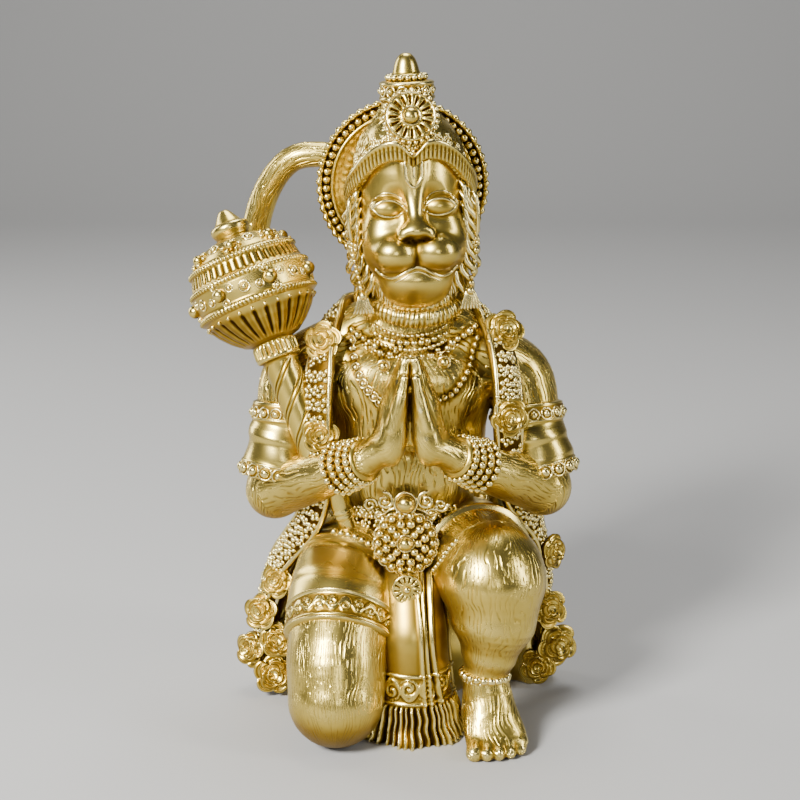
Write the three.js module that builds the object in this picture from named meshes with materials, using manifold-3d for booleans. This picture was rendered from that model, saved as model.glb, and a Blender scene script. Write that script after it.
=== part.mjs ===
// A kneeling monkey-faced guardian figure, cast in one piece with its mace, tail, garlands and drapery.
// It kneels on one knee with its palms together, and its underside is cut flat.
// Axes: +X to the viewer's right, -Y towards the viewer, +Z up. The origin is on the flat underside.
import * as THREE from "three";
import { mergeVertices } from "three/addons/utils/BufferGeometryUtils.js";
import Module from "manifold-3d";

const wasm = await Module();
wasm.setup();

// Driving dimensions, in millimetres.
const HEIGHT = 200; // floor to the tip of the crown's finial
const HALO_RADIUS = 26;
const HALO_THICKNESS = 3.2;
const CROWN_TIER_RADIUS = 8;
const MACE_HEAD_RADIUS = 18.4;
const MACE_HANDLE_RADIUS = 5.4;
const TAIL_RADIUS = 4.2; // where the tail shows beside the crown
const ROSE_RADIUS = 5.2;
const GARLAND_WIDTH = 8.4;
const NECKLACE_WIDTH = 2.4;

// The pose and carving are shares of the height, written for a figure of 201.6 units.
const UNIT = HEIGHT / 201.6;

const at = (x, y, z) => new THREE.Vector3(x, y, z).multiplyScalar(UNIT);
const own = (size) => size / UNIT; // a driving size, in the design's units
const rad = THREE.MathUtils.degToRad;
const between = (a, b, t) => a.map((v, i) => v + (b[i] - v) * t);
const away = (a, b) => b.map((v, i) => v - a[i]);

// Closed solids from three.js geometry.

function solidOf(geometry) {
  const bare = new THREE.BufferGeometry().setIndex(geometry.index);
  bare.setAttribute("position", geometry.getAttribute("position"));
  const merged = mergeVertices(bare, 1e-4);
  const index = merged.index.array;
  const triangles = [];
  for (let i = 0; i < index.length; i += 3) {
    const [a, b, c] = [index[i], index[i + 1], index[i + 2]];
    if (a !== b && b !== c && c !== a) triangles.push(a, b, c);
  }
  const vertProperties = merged.attributes.position.array;
  const mesh = new wasm.Mesh({ numProp: 3, vertProperties, triVerts: new Uint32Array(triangles) });
  return new wasm.Manifold(mesh);
}

function joined(solids) {
  return solids.reduce((whole, piece) => whole.add(piece));
}

const NO_TURN = new THREE.Quaternion();
const turn = (x, y, z) => {
  const angles = new THREE.Euler(rad(x), rad(y), rad(z));
  return new THREE.Quaternion().setFromEuler(angles);
};
const UPRIGHT = new THREE.Vector3(0, 1, 0); // the axis that a lathe stands along
const facing = (x, y, z) => {
  const axis = new THREE.Vector3(x, y, z).normalize();
  return new THREE.Quaternion().setFromUnitVectors(UPRIGHT, axis);
};

function placed(geometry, position, rotation = NO_TURN, frame = null) {
  const size = new THREE.Vector3(UNIT, UNIT, UNIT);
  const matrix = new THREE.Matrix4().compose(at(...position), rotation, size);
  if (frame) matrix.premultiply(frame);
  return solidOf(geometry.clone().applyMatrix4(matrix));
}

// An ellipsoid at a point, with its three radii.
function ball(position, radii, { frame = null, sides = 10, rows = 7 } = {}) {
  const sphere = new THREE.SphereGeometry(1, sides, rows).rotateX(Math.PI / 2).scale(...radii);
  return placed(sphere, position, NO_TURN, frame);
}

// A rounded tube through stations [x, y, z, half width, half depth], with the width measured along "across".
// The bands are [t, swell] pairs, where t runs from 0 to 1 along the tube: each makes one ring of that swell.
// ridge(angle, t) scales the section further, round the tube.
const evenly = (count) => Array.from({ length: count + 1 }, (_, k) => [k / count, 1]);

function limb(stations, options = {}) {
  const { sides = 8, bands = evenly(4), caps = 1, across = [1, 0, 0], frame = null, ridge = null } = options;
  const centres = stations.map(([x, y, z]) => new THREE.Vector3(x, y, z));
  const curve = new THREE.CatmullRomCurve3(centres, false, "centripetal");
  const side = new THREE.Vector3(...across);
  const halves = (t) => {
    const place = t * (stations.length - 1);
    const i = Math.min(Math.floor(place), stations.length - 2);
    const eased = THREE.MathUtils.smoothstep(place - i, 0, 1);
    const [near, far] = [stations[i], stations[i + 1]].map((s) => [s[3], s[4] ?? s[3]]);
    return between(near, far, eased);
  };
  const ring = (t, share, beyond = 0) => {
    const tangent = curve.getTangent(t).normalize();
    const wideAxis = side.clone().addScaledVector(tangent, -tangent.dot(side)).normalize();
    const deepAxis = tangent.clone().cross(wideAxis);
    const [wide, deep] = halves(t);
    const centre = curve.getPoint(t).addScaledVector(tangent, beyond * Math.min(wide, deep));
    if (share === 0) return [centre];
    return Array.from({ length: sides }, (_, k) => {
      const angle = (2 * Math.PI * k) / sides;
      const swell = share * (ridge ? ridge(angle, t) : 1);
      return centre
        .clone()
        .addScaledVector(wideAxis, Math.cos(angle) * wide * swell)
        .addScaledVector(deepAxis, Math.sin(angle) * deep * swell);
    });
  };
  const capAngles = Array.from({ length: caps }, (_, k) => (Math.PI / 2) * ((caps - k) / (caps + 1)));
  const rows = [
    ...capAngles.map((a) => ring(0, Math.cos(a), -Math.sin(a))),
    ...bands.map(([t, swell]) => ring(t, swell)),
    ...capAngles.toReversed().map((a) => ring(1, Math.cos(a), Math.sin(a))),
  ];
  const points = [...ring(0, 0, -1), ...rows.flat(), ...ring(1, 0, 1)];
  const end = points.length - 1;
  const index = [];
  for (let k = 0; k < sides; k++) {
    const next = (k + 1) % sides;
    index.push(0, 1 + next, 1 + k, end, end - sides + k, end - sides + next);
    for (let row = 0; row < rows.length - 1; row++) {
      const [a, b] = [1 + row * sides + k, 1 + row * sides + next];
      index.push(a, b, b + sides, a, b + sides, a + sides);
    }
  }
  const tube = new THREE.BufferGeometry().setIndex(index);
  tube.setAttribute("position", new THREE.Float32BufferAttribute(points.flatMap((p) => p.toArray()), 3));
  return placed(tube, [0, 0, 0], NO_TURN, frame);
}

// A turned solid: profile points [radius, height], standing along "axis".
// lobes(angle, row) scales the radius of each point of the profile, round the axis.
// rise(angle, row) lifts it.
function turned(profile, position, axis, options = {}) {
  const { segments = 14, frame = null, lobes, rise, squash = [1, 1] } = options;
  const points = profile.map(([r, h]) => new THREE.Vector2(r, h));
  const lathe = new THREE.LatheGeometry(points, segments);
  const place = lathe.attributes.position;
  for (let i = 0; i < place.count; i++) {
    const column = Math.floor(i / points.length) % segments; // the seam's two columns are the same points
    const [angle, row] = [(2 * Math.PI * column) / segments, i % points.length];
    const swell = lobes?.(angle, row) ?? 1;
    place.setX(i, place.getX(i) * swell * squash[0]);
    place.setY(i, place.getY(i) + (rise?.(angle, row) ?? 0));
    place.setZ(i, place.getZ(i) * swell * squash[1]);
  }
  return placed(lathe, position, facing(...axis), frame);
}

// A lobe pattern, "count" times round, on the given rows of a turned solid.
const scallops = (count, depth, ...rows) => (angle, row) =>
  rows.includes(row) ? 1 + depth * Math.cos(count * angle) : 1;

// Evenly spaced angles in radians, from one to another in degrees.
const spread = (from, to, count) =>
  Array.from({ length: count }, (_, i) => rad(from + ((to - from) * i) / (count - 1)));

// The head, crown and halo share a frame that is turned and tilted a little.
const HEAD_TURN = turn(1, -2.2, 3.5);
const HEAD_FRAME = new THREE.Matrix4().makeRotationFromQuaternion(HEAD_TURN).setPosition(at(1.2, 0, 150));
const onHead = { frame: HEAD_FRAME };

function face() {
  const small = { ...onHead, sides: 8, rows: 5 };
  const EYE = [7, -13, 8.4];
  const shape = [[0, -9, -15, 9.6, 8], [0, -6, -8, 14, 11.6], [0, -1.5, 3, 16, 15.4], [0, 1.2, 19, 16, 16.6]];
  let solid = limb(shape, { ...onHead, sides: 12, bands: evenly(4) });
  for (const side of [-1, 1]) {
    const [x, y, z] = [side * EYE[0], EYE[1], EYE[2]];
    solid = solid.subtract(ball([x, y - 5, z + 0.6], [5.8, 4, 5], small));
    solid = solid.add(ball([x, y, z], [4.8, 3.4, 3.1], { ...small, sides: 7 }));
    solid = solid.add(ball([side * 5.4, -15.2, -4.2], [6.9, 6.3, 6.6], small)); // a side of the muzzle
  }
  const nose = [[0, -14, 17, 2.4], [0, -16.2, 9, 2.3], [0.2, -20, 3.4, 4, 3]];
  solid = solid.add(limb(nose, { ...onHead, sides: 5, bands: evenly(2) }));
  // The closed mouth is one long raised line that turns up at its ends.
  const mouth = spread(-64, 64, 9).map((a) => {
    return [12.6 * Math.sin(a), -6.4 - 13.8 * Math.cos(a), -9.6 + 1.7 * Math.cos(5.5 * a), 1];
  });
  return solid.add(limb(mouth, { ...onHead, sides: 4, bands: evenly(8), across: [0, 0, 1] }));
}

// A ruff of fur that faces along "axis", its edge cut into pointed locks.
function ruff(position, axis, { radius, lock, count, frame = null }) {
  const profile = [[0, -lock], [radius - 3, -lock], [radius, 0], [0, lock * 0.4]];
  const lobes = scallops(count, lock / radius, 2);
  return turned(profile, position, axis, { segments: 2 * count, lobes, frame });
}

function hair() {
  const LOCKS = 5;
  const mass = [[0, 4, 12, 17.6, 8], [0, 5, -8, 18.4, 9], [-0.5, 6, -29, 19, 10]];
  const locks = (angle) => 1 + 0.04 * Math.cos(LOCKS * angle);
  // An ear and the drop that hangs from it.
  const ear = (side) => {
    const path = [[side * 17.2, -2, 9, 1.6, 2.6], [side * 17.6, -3, -3, 1.4], [side * 16.6, -4.4, -16, 2.6]];
    return limb(path, { ...onHead, sides: 5, bands: evenly(2) });
  };
  return joined([
    limb(mass, { ...onHead, sides: 2 * LOCKS, bands: evenly(2), ridge: locks }),
    ruff([0, -0.5, -7], [0, -0.79, 0.61], { radius: 16.4, lock: 2.6, count: 10, ...onHead }), // the beard
    ruff([0.6, 0, 121.5], [0, -0.5, 0.87], { radius: 13.6, lock: 2.4, count: 7 }), // the fur of the neck
    ear(-1),
    ear(1),
  ]);
}

function crown() {
  const tier = own(CROWN_TIER_RADIUS);
  // The brim rises over each eye, dips between them and falls to the ears and the nape.
  const brimHeight = (angle) => {
    const a = Math.min(angle, 2 * Math.PI - angle);
    const dips = 1.2 * Math.exp(-((a / 0.15) ** 2)) + 4 * Math.exp(-(((a - 1.8) / 0.35) ** 2));
    return 8.4 + 16.5 * Math.cos(a / 2) ** 4 + 1.8 * Math.sin(Math.min(a * 3, Math.PI)) - dips;
  };
  const brim = [[11, -3], [17, -3], [19.6, -0.4], [17.4, 2.6], [11, 2.6], [11, -3]];
  const narrower = (angle) => 1 - 0.08 * Math.abs(Math.cos(angle / 2)) ** 3; // towards the front
  const dome = [
    [0, 6], [15.6, -6], [14.6, 26.2], [10.3, 31.8], [tier, 37.4], [tier, 43.2], [tier * 0.6, 44.2],
    [tier * 0.5, 46.4], [tier * 0.34, 50], [0, 51.6],
  ];
  const underBrim = (angle, row) => (row === 1 ? brimHeight(angle) : 0);
  const rosette = [[0, -3], [7.4, -3], [8, 0.6], [2.6, 1], [0, 3]];
  const petals = scallops(8, 0.07, 1, 2);
  return joined([
    turned(dome, [0, 1, 0], [0, 0, 1], { ...onHead, segments: 16, rise: underBrim }),
    turned(brim, [0, 1, 0], [0, 0, 1], { ...onHead, segments: 18, rise: brimHeight, lobes: narrower }),
    turned(rosette, [0, -12.2, 34], [0, -0.93, 0.37], { ...onHead, segments: 16, lobes: petals }),
  ]);
}

// The disc behind the crown: a dished plate with a raised, notched rim.
function halo() {
  const [rim, thick] = [own(HALO_RADIUS), own(HALO_THICKNESS)];
  const plate = [
    [0, -thick / 2], [rim * 0.95, -thick / 2], [rim, thick * 0.4], [rim * 0.9, thick * 0.7], [rim * 0.84, 0],
    [0, 0],
  ];
  const NOTCHES = 12;
  const lobes = scallops(NOTCHES, 0.018, 2);
  return turned(plate, [-1.8, 9.6, 12.2], [0, -1, 0], { ...onHead, segments: 2 * NOTCHES, lobes });
}

function torso() {
  const trunk = [
    [-0.5, 6, 44, 26, 19], [0, 2, 64, 20.5, 16], [0, 1, 84, 24, 16.5], [0, 2, 106, 26, 16],
    [0.6, 2, 118, 12, 11],
  ];
  const neck = [[0.6, 2, 112, 11], [1, 0, 140, 10]];
  const breast = (side) => ball([side * 10.5, -8.4, 103], [11.5, 7.2, 9.5], { sides: 8, rows: 5 });
  return joined([
    limb(trunk, { sides: 11, bands: evenly(6) }),
    limb(neck, { bands: evenly(1) }),
    breast(-1),
    breast(1),
  ]);
}

// Joints of the two arms; the viewer's left arm carries the mace in its crook.
const ARMS = [
  { side: -1, collar: [-16, 3, 113], shoulder: [-34, 3, 105], elbow: [-41.2, -4, 69.5], wrist: [-12.6, -29, 86] },
  { side: 1, collar: [16, 3, 113], shoulder: [33.8, 3, 104.4], elbow: [41.6, -4, 70.5], wrist: [14, -29, 87] },
];

function arm({ collar, shoulder, elbow, wrist }) {
  // The short sleeve lies in three rolls above the elbow, and the cuff of beads is just behind the wrist.
  const sleeve = [
    [0, 1], [0.33, 1], [0.52, 1], [0.58, 1.14], [0.65, 1.03], [0.73, 1.22], [0.81, 1.08], [0.9, 1.32], [1, 1],
  ];
  const cuff = [[0, 1], [0.44, 1], [0.8, 1], [0.84, 1.4], [1, 1.5]];
  const upper = [[...collar, 10], [...shoulder, 10.4], [...between(shoulder, elbow, 0.5), 9.6], [...elbow, 8.6]];
  const fore = [[...elbow, 8.4], [...between(elbow, wrist, 0.4), 7.8], [...wrist, 5]];
  return joined([limb(upper, { bands: sleeve }), limb(fore, { bands: cuff, across: [0, 0, 1] })]);
}

// One hand of the pair, pressed to the other at the fingertips and open at the heel.
function hand({ side, wrist }) {
  const MIDDLE = 0.4; // where the palms meet
  const fingers = (angle, t) => 1 + 0.09 * Math.min(1, 2 * t) * Math.cos(6 * angle);
  const palm = [
    [...wrist, 5.4, 4.6], [MIDDLE + side * 7.6, -31, 94, 7, 4], [MIDDLE + side * 4.6, -30, 104, 6.4, 3.2],
    [MIDDLE + side * 1.2, -26.4, 116, 4.2, 1.6],
  ];
  const thumb = [[MIDDLE + side * 6.6, -35.6, 94, 2.3], [MIDDLE + side * 2.6, -36, 105.5, 1.7]];
  const filled = [[0, -10, 98, 8, 4], [MIDDLE + side * 2.4, -24, 99, 5, 2.4]]; // cast full behind the palms
  return joined([
    limb(palm, { sides: 12, across: [0, 1, 0], ridge: fingers }),
    limb(thumb, { sides: 5, bands: evenly(1) }),
    limb(filled, { sides: 5, bands: evenly(1), across: [0, 0, 1] }),
  ]);
}

// Ridges over the end of a foot, one for each toe.
const toes = (angle, t) => 1 + 0.08 * THREE.MathUtils.smoothstep(t, 0.5, 1) * Math.cos(8 * angle);

function kneelingLeg() {
  const thigh = [[-13, 8, 47, 17], [-18, -12, 42, 16.6], [-21.2, -31, 27, 15.2], [-21.5, -37.6, 14.6, 14.4]];
  const hem = [[0, 1], [0.5, 1], [0.515, 1.08], [0.6, 1.07], [0.615, 1], [0.86, 1], [1, 1]];
  const shin = [[-21, -34, 12.5, 12.4], [-23.5, -4, 11, 11], [-24, 29, 9, 6.6]];
  const foot = [[-24, 27, 12, 5.6, 6], [-24, 37, 9, 6.8, 5], [-24.5, 43, 3, 7.8, 3.4]];
  return joined([
    limb(thigh, { sides: 10, caps: 2, bands: hem }),
    limb(shin, { sides: 7, bands: evenly(3), across: [0, 0, 1] }),
    limb(foot, { sides: 16, bands: evenly(2), ridge: toes }),
  ]);
}

function raisedLeg() {
  const thigh = [[13, 8, 47, 17], [20, -12, 50, 16.8], [25, -25, 49.5, 16]];
  const hem = [[0, 1], [0.4, 1], [0.6, 1.06], [0.64, 1], [1, 1]];
  const shin = [
    [25.4, -27, 47, 15.8], [25.4, -30, 36, 13], [24.2, -31.5, 26.5, 8.6], [23, -32, 20, 6],
    [23.4, -32.6, 8, 6.4],
  ];
  const anklet = [[0, 1], [0.25, 1], [0.5, 1], [0.7, 1], [0.75, 1.25], [0.8, 1], [1, 1]];
  const foot = [[23.4, -27, 6, 6.6, 5.8], [24.6, -36.5, 7.6, 8.2, 7.2], [26.6, -45.2, 3, 9.2, 3]];
  return joined([
    limb(thigh, { sides: 9, bands: hem }),
    limb(shin, { sides: 10, bands: anklet }),
    limb(foot, { sides: 16, bands: evenly(2), ridge: toes }),
  ]);
}

// The front panel of the loincloth: upright pleats, down to a fringe that flares on the floor.
function loincloth() {
  const PLEATS = 7;
  const TASSELS = 9;
  const panel = [[0.6, -17, 50, 9, 6.6], [1.4, -26, 30, 11, 12], [1.4, -26, 8, 12.6, 12.4]];
  const skirt = [[0, 0], [14.2, 0], [12, 10], [0, 14]];
  const pleats = (angle) => 1 + 0.06 * Math.cos(PLEATS * angle);
  return joined([
    limb(panel, { sides: 2 * PLEATS, bands: evenly(2), ridge: pleats }),
    turned(skirt, [1.6, -26, 0], [0, 0, 1], {
      segments: 2 * TASSELS,
      lobes: scallops(TASSELS, 0.06, 1),
      squash: [1.15, 1.04],
    }),
  ]);
}

function belt() {
  const FLORETS = 12;
  const band = [[0, -4], [25, -3], [25, 3], [0, 4]];
  const buckle = [[0, -4], [9, -4], [10.2, 0.6], [4, 1.4], [0, 4.4]];
  const pendant = [[0, -3], [4.4, -1], [0, 1.6]];
  const beads = { segments: 12, lobes: scallops(6, 0.07, 2), squash: [1.15, 1.1] };
  return joined([
    turned(band, [-0.6, 4, 60], [0, 0.05, 1], {
      segments: 2 * FLORETS,
      lobes: scallops(FLORETS, 0.03, 1, 2),
      squash: [1, 0.83],
    }),
    turned(buckle, [-0.8, -23.8, 59.2], [0, -1, 0.16], beads),
    turned(pendant, [-0.4, -27.4, 46.7], [0, -1, 0.16], { segments: 8 }),
    ball([-0.8, -23, 71], [3.5, 2.8, 3.5], { sides: 6, rows: 4 }), // the jewel over the buckle
  ]);
}

// The shawl's falls at each side and the heap of cloth behind close the figure down to the floor.
function drapery() {
  const fall = (side) => [[side * 24, 12, 60, 8, 10], [side * 33, 13, 36, 8, 10], [side * 39, 13.5, 6, 9, 9.5]];
  const downTheBack = [[0, 13, 122, 15, 6], [0, 16, 84, 21, 6], [0, 22, 44, 20, 7]];
  const falls = [fall(-1), fall(1), downTheBack].map((path) => limb(path, { bands: evenly(2) }));
  return joined([ball([1, 12, 18], [30, 22, 26], { rows: 5 }), ...falls]);
}

// A rose: an open rim of petals round a bud.
function rose(position, axis, radius) {
  const profile = [[0, -0.7], [1, 0.2], [0.58, 0.28], [0, 0.7]];
  const sized = profile.map(([r, h]) => [r * radius, h * radius]);
  return turned(sized, position, axis, { segments: 8, lobes: scallops(4, 0.08, 1) });
}

// Each garland comes from behind the neck, over a shoulder, down the chest and out over the hip to the floor.
// A rose is [its place, the direction it faces, its share of the rose radius].
const GARLANDS = [
  {
    path: [
      [-14, 12, 124], [-22.5, 0, 122], [-26.5, -13.5, 106], [-27, -17, 88], [-28.5, -10, 65], [-36, -2, 51],
      [-43, 4, 38], [-46.5, 6, 18], [-46, 6, 7],
    ],
    roses: [
      [[-25.4, -9.5, 117.6], [-0.3, -0.9, 0.3], 1.15],
      [[-26, -19, 91], [-0.1, -1, 0.2], 1.1],
      [[-42.5, 0, 40], [-0.6, -0.7, 0.3], 1],
      [[-49, 3, 21], [-0.8, -0.5, 0.3], 1.2],
      [[-45, 0, 10], [-0.1, -1, 0.3], 1.25],
      [[-50, 7, 7], [-0.9, -0.3, 0.1], 1.2],
    ],
  },
  {
    path: [
      [14, 12, 124], [23.5, 0, 122], [29, -13, 107], [29.5, -16, 92], [32, -8, 70], [39, 3, 57], [43.5, 9, 40],
      [43, 11, 20], [43, 11, 8],
    ],
    roses: [
      [[28.6, -6.4, 120], [0.35, -0.85, 0.4], 1.25],
      [[30, -18.5, 96.5], [0.2, -1, 0.1], 1.15],
      [[45, 4, 46], [0.8, -0.6, 0.1], 1.05],
      [[46, 6, 22], [0.8, -0.6, 0.3], 1.25],
      [[47, 8, 10], [0.7, -0.7, 0], 1.25],
    ],
  },
];

function garland({ path, roses }) {
  const half = own(GARLAND_WIDTH) / 2;
  const FLORETS = 8;
  const ridge = (angle, t) => 1 + 0.15 * Math.cos(2 * Math.PI * FLORETS * t);
  return joined([
    limb(path.map((p) => [...p, half, half * 0.75]), { sides: 5, bands: evenly(2 * FLORETS), ridge }),
    ...roses.map(([place, axis, share]) => rose(place, axis, own(ROSE_RADIUS) * share)),
  ]);
}

// The broad necklace that lies on the chest.
function necklace() {
  const half = own(NECKLACE_WIDTH) / 2;
  const strand = spread(-90, 90, 9).map((a) => {
    return [19 * Math.sin(a), -8 - 11.5 * Math.cos(a) ** 0.8, 118 - 20 * Math.cos(a), half];
  });
  return limb(strand, { sides: 4, bands: evenly(10) });
}

// The mace leans back over the shoulder; its axis points up through the head to the finial.
const MACE_AT = [-47, -3.5, 133];
const MACE_AXIS = new THREE.Vector3(-0.36, 0.27, 0.893).normalize().toArray();
const alongMace = (distance) => MACE_AT.map((v, i) => v + MACE_AXIS[i] * distance);

// The handle runs down into the crook of the forearm, and its end shows again over the thigh.
function mace() {
  const [head, handle] = [own(MACE_HEAD_RADIUS), own(MACE_HANDLE_RADIUS)];
  const latitude = (degrees, swell = 1) => {
    return [head * swell * Math.cos(rad(degrees)), head * swell * Math.sin(rad(degrees))];
  };
  const profile = [
    [0, -head - 3], [handle * 1.2, -head - 3], latitude(-52), latitude(-24), latitude(-12, 1.04), latitude(12),
    latitude(18, 1.06), latitude(32, 1.04), latitude(56), [head * 0.33, head * 0.95], [head * 0.31, head * 1.14],
    [0, head * 1.36],
  ];
  const FLUTES = 8;
  const WRAPS = 3;
  const wrapped = (angle, t) => 1 + 0.05 * Math.cos(2 * Math.PI * WRAPS * t);
  const grip = [[...alongMace(-head * 0.9), handle], [-25.4, -15.2, 79.2, handle]];
  const end = [[-23, -13, 75, handle * 0.7], [-18, -12.6, 60, handle * 0.6]];
  return joined([
    turned(profile, MACE_AT, MACE_AXIS, { segments: 2 * FLUTES, lobes: scallops(FLUTES, 0.04, 2, 3) }),
    limb(grip, { sides: 7, bands: evenly(2 * WRAPS), ridge: wrapped }),
    limb(end, { sides: 6, bands: evenly(1) }),
  ]);
}

// The tail lies against the back, rises behind the mace and curls over to the back of the halo.
// Its stations are [x, y, z, share of the tail's radius].
function tail() {
  const path = [
    [1, 24, 32, 1.5], [-20, 26, 52, 1.4], [-34, 20, 82, 1.3], [-42.5, 18.5, 114, 1.15], [-47.4, 20.5, 148, 1.02],
    [-36, 16.5, 169, 0.95], [-17, 14, 170.5, 0.9],
  ];
  const stations = path.map(([x, y, z, share]) => [x, y, z, share * own(TAIL_RADIUS)]);
  return limb(stations, { sides: 6, bands: evenly(12), across: [0, 1, 0] });
}

// Everything under the floor plane is cut away, which leaves the flat underside.
function aboveFloor(solid) {
  const reach = 2 * HEIGHT;
  const below = new THREE.BoxGeometry(reach, reach, reach).translate(0, 0, -reach / 2);
  return solid.subtract(solidOf(below));
}

const figureSolid = aboveFloor(
  joined([
    torso(), drapery(), kneelingLeg(), raisedLeg(), loincloth(), belt(), tail(), mace(),
    ...ARMS.flatMap((joints) => [arm(joints), hand(joints)]),
    hair(), face(), halo(), crown(), necklace(), ...GARLANDS.map(garland),
  ]),
);

function geometryOf(solid) {
  const mesh = solid.getMesh();
  const geometry = new THREE.BufferGeometry();
  geometry.setAttribute("position", new THREE.BufferAttribute(new Float32Array(mesh.vertProperties), 3));
  geometry.setIndex(new THREE.BufferAttribute(new Uint32Array(mesh.triVerts), 1));
  geometry.computeVertexNormals();
  return geometry;
}

const gold = new THREE.MeshStandardMaterial({ color: 0xc9a455, roughness: 0.34, metalness: 1 });
const figure = new THREE.Mesh(geometryOf(figureSolid), gold);
figure.name = "figure";

const model = new THREE.Group();
model.add(figure);

export default model;
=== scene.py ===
# A kneeling monkey-faced guardian figure of gold painted resin: the finely carved visual model.
# The soft forms are sculpted as distance fields on a grid and skinned; the ornaments are swept or turned.
# Lengths are in design units, in which the figure is DESIGN_HEIGHT tall, until a piece is made.
import math

import bmesh
import bpy
import numpy as np

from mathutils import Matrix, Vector


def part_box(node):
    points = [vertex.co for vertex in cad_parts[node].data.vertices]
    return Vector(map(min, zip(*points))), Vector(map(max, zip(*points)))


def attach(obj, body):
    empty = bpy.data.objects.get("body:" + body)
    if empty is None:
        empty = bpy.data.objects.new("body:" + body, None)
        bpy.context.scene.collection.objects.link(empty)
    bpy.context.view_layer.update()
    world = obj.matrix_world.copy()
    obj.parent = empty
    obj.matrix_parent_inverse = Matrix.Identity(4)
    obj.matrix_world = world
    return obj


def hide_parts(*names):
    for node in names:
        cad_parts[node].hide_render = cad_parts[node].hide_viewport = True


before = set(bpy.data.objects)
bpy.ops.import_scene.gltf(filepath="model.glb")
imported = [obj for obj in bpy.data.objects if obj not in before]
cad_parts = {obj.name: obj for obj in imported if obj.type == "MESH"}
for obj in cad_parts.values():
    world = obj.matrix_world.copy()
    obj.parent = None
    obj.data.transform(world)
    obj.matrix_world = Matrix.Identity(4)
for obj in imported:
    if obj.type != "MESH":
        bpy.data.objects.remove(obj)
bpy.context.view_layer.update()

DESIGN_HEIGHT = 201.6
low_corner, high_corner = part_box("figure")
M = (high_corner.z - low_corner.z) / DESIGN_HEIGHT  # metres for one design unit
F = np.float32
FAR = 30.0  # the distance outside every solid
SLAB = 24  # layers of the grid that are worked out at a time, to keep the arrays small
TAU = 2 * math.pi


# Camera, floor and lights.

def aim(thing, at, target):
    """Place a lamp or camera at a point and turn it to look at a target, both in metres."""
    thing.location = Vector(at)
    thing.rotation_euler = (Vector(target) - Vector(at)).to_track_quat("-Z", "Y").to_euler()


def linked(name, data):
    """A new object in the scene for a mesh, lamp or camera."""
    thing = bpy.data.objects.new(name, data)
    bpy.context.scene.collection.objects.link(thing)
    return thing


def make_camera():
    data = bpy.data.cameras.new("camera")
    data.lens, data.sensor_width, data.clip_start, data.clip_end = 73.0, 36.0, 0.01, 50.0
    camera = linked("camera", data)
    away, lift = 0.496, math.radians(14)
    target = (-0.00245, 0, 0.09623)
    aim(camera, (target[0], -away * math.cos(lift), target[2] + away * math.sin(lift)), target)
    bpy.context.scene.camera = camera


def make_lamp(name, at, target, size, power, colour=(1, 1, 1)):
    data = bpy.data.lights.new(name, "AREA")
    data.shape, data.size, data.size_y = "RECTANGLE", size[0], size[1]
    data.energy, data.color = power, colour
    aim(linked(name, data), at, target)


def make_studio():
    """A pale floor that sweeps up into a backdrop, under soft lights and a grey sky."""
    mesh = bpy.data.meshes.new("floor")
    bend = [math.radians(a) for a in range(6, 91, 6)]
    rows = [(-0.9, 0.0), (1.1, 0.0)]
    rows += [(1.1 + 0.7 * math.sin(a), 0.7 - 0.7 * math.cos(a)) for a in bend]
    rows += [(1.8, 2.6)]
    verts = [(x, y, z) for y, z in rows for x in (-2.4, 2.4)]
    mesh.from_pydata(verts, [], [(2 * i, 2 * i + 1, 2 * i + 3, 2 * i + 2) for i in range(len(rows) - 1)])
    mesh.shade_smooth()
    floor = linked("floor", mesh)
    paint = bpy.data.materials.new("floor_paint")
    paint.use_nodes = True
    shader = paint.node_tree.nodes["Principled BSDF"]
    shader.inputs["Base Color"].default_value = (0.32, 0.317, 0.312, 1)
    shader.inputs["Roughness"].default_value = 0.8
    mesh.materials.append(paint)
    world = bpy.data.worlds.new("sky")
    world.use_nodes = True
    sky = world.node_tree.nodes["Background"]
    sky.inputs["Color"].default_value = (0.80, 0.83, 0.88, 1)
    sky.inputs["Strength"].default_value = 0.05
    bpy.context.scene.world = world
    middle = (0, 0, 0.1)
    make_lamp("key", (-0.52, -0.66, 0.62), middle, (0.26, 0.26), 34, (1, 0.99, 0.96))
    make_lamp("side", (0.78, -0.30, 0.40), middle, (0.12, 0.6), 4.5, (1, 0.99, 0.97))
    make_lamp("front", (0.10, -1.1, 0.34), middle, (0.2, 0.2), 1.2)
    make_lamp("top", (0.0, 0.25, 0.95), middle, (0.4, 0.4), 6)
    make_lamp("rim", (-0.72, 0.45, 0.35), middle, (0.2, 0.6), 4)
    make_lamp("wash", (0.0, 0.9, 1.5), (0, 1.7, 0.6), (1.6, 0.6), 14)


# Small mathematics.

def unit(v):
    v = np.asarray(v, float)
    return v / np.linalg.norm(v)


def eased(t):
    t = np.clip(t, 0, 1)
    return t * t * (3 - 2 * t)


def ramp(x, low, high):
    return eased((x - low) / (high - low))


def window(x, low, full, last, high):
    """Rises from 0 to 1 between low and full, and falls again between last and high."""
    return ramp(x, low, full) * ramp(-x, -high, -last)


def bump(x, centre, width):
    """A smooth hump of height 1 round a centre."""
    return np.exp(-((x - centre) / width) ** 2)


def between(a, b, t):
    return [x + (y - x) * t for x, y in zip(a, b)]


def turns(count, shift=0.0):
    """The angles of evenly spaced places round a circle."""
    return TAU * (np.arange(count) + shift) / count


def turned_to(axis, start=(0, 1, 0)):
    """The rotation matrix that takes one direction to another by the shortest turn."""
    a, b = unit(start), unit(axis)
    v, c = np.cross(a, b), float(a @ b)
    if c < -0.9999:
        return np.diag([1.0, -1.0, -1.0])
    k = np.array([[0, -v[2], v[1]], [v[2], 0, -v[0]], [-v[1], v[0], 0]])
    return np.eye(3) + k + k @ k / (1 + c)


def lengths_along(line):
    """The length from the first point of a line to each of its points."""
    return np.concatenate([[0], np.cumsum(np.linalg.norm(np.diff(line, axis=0), axis=1))])


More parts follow.
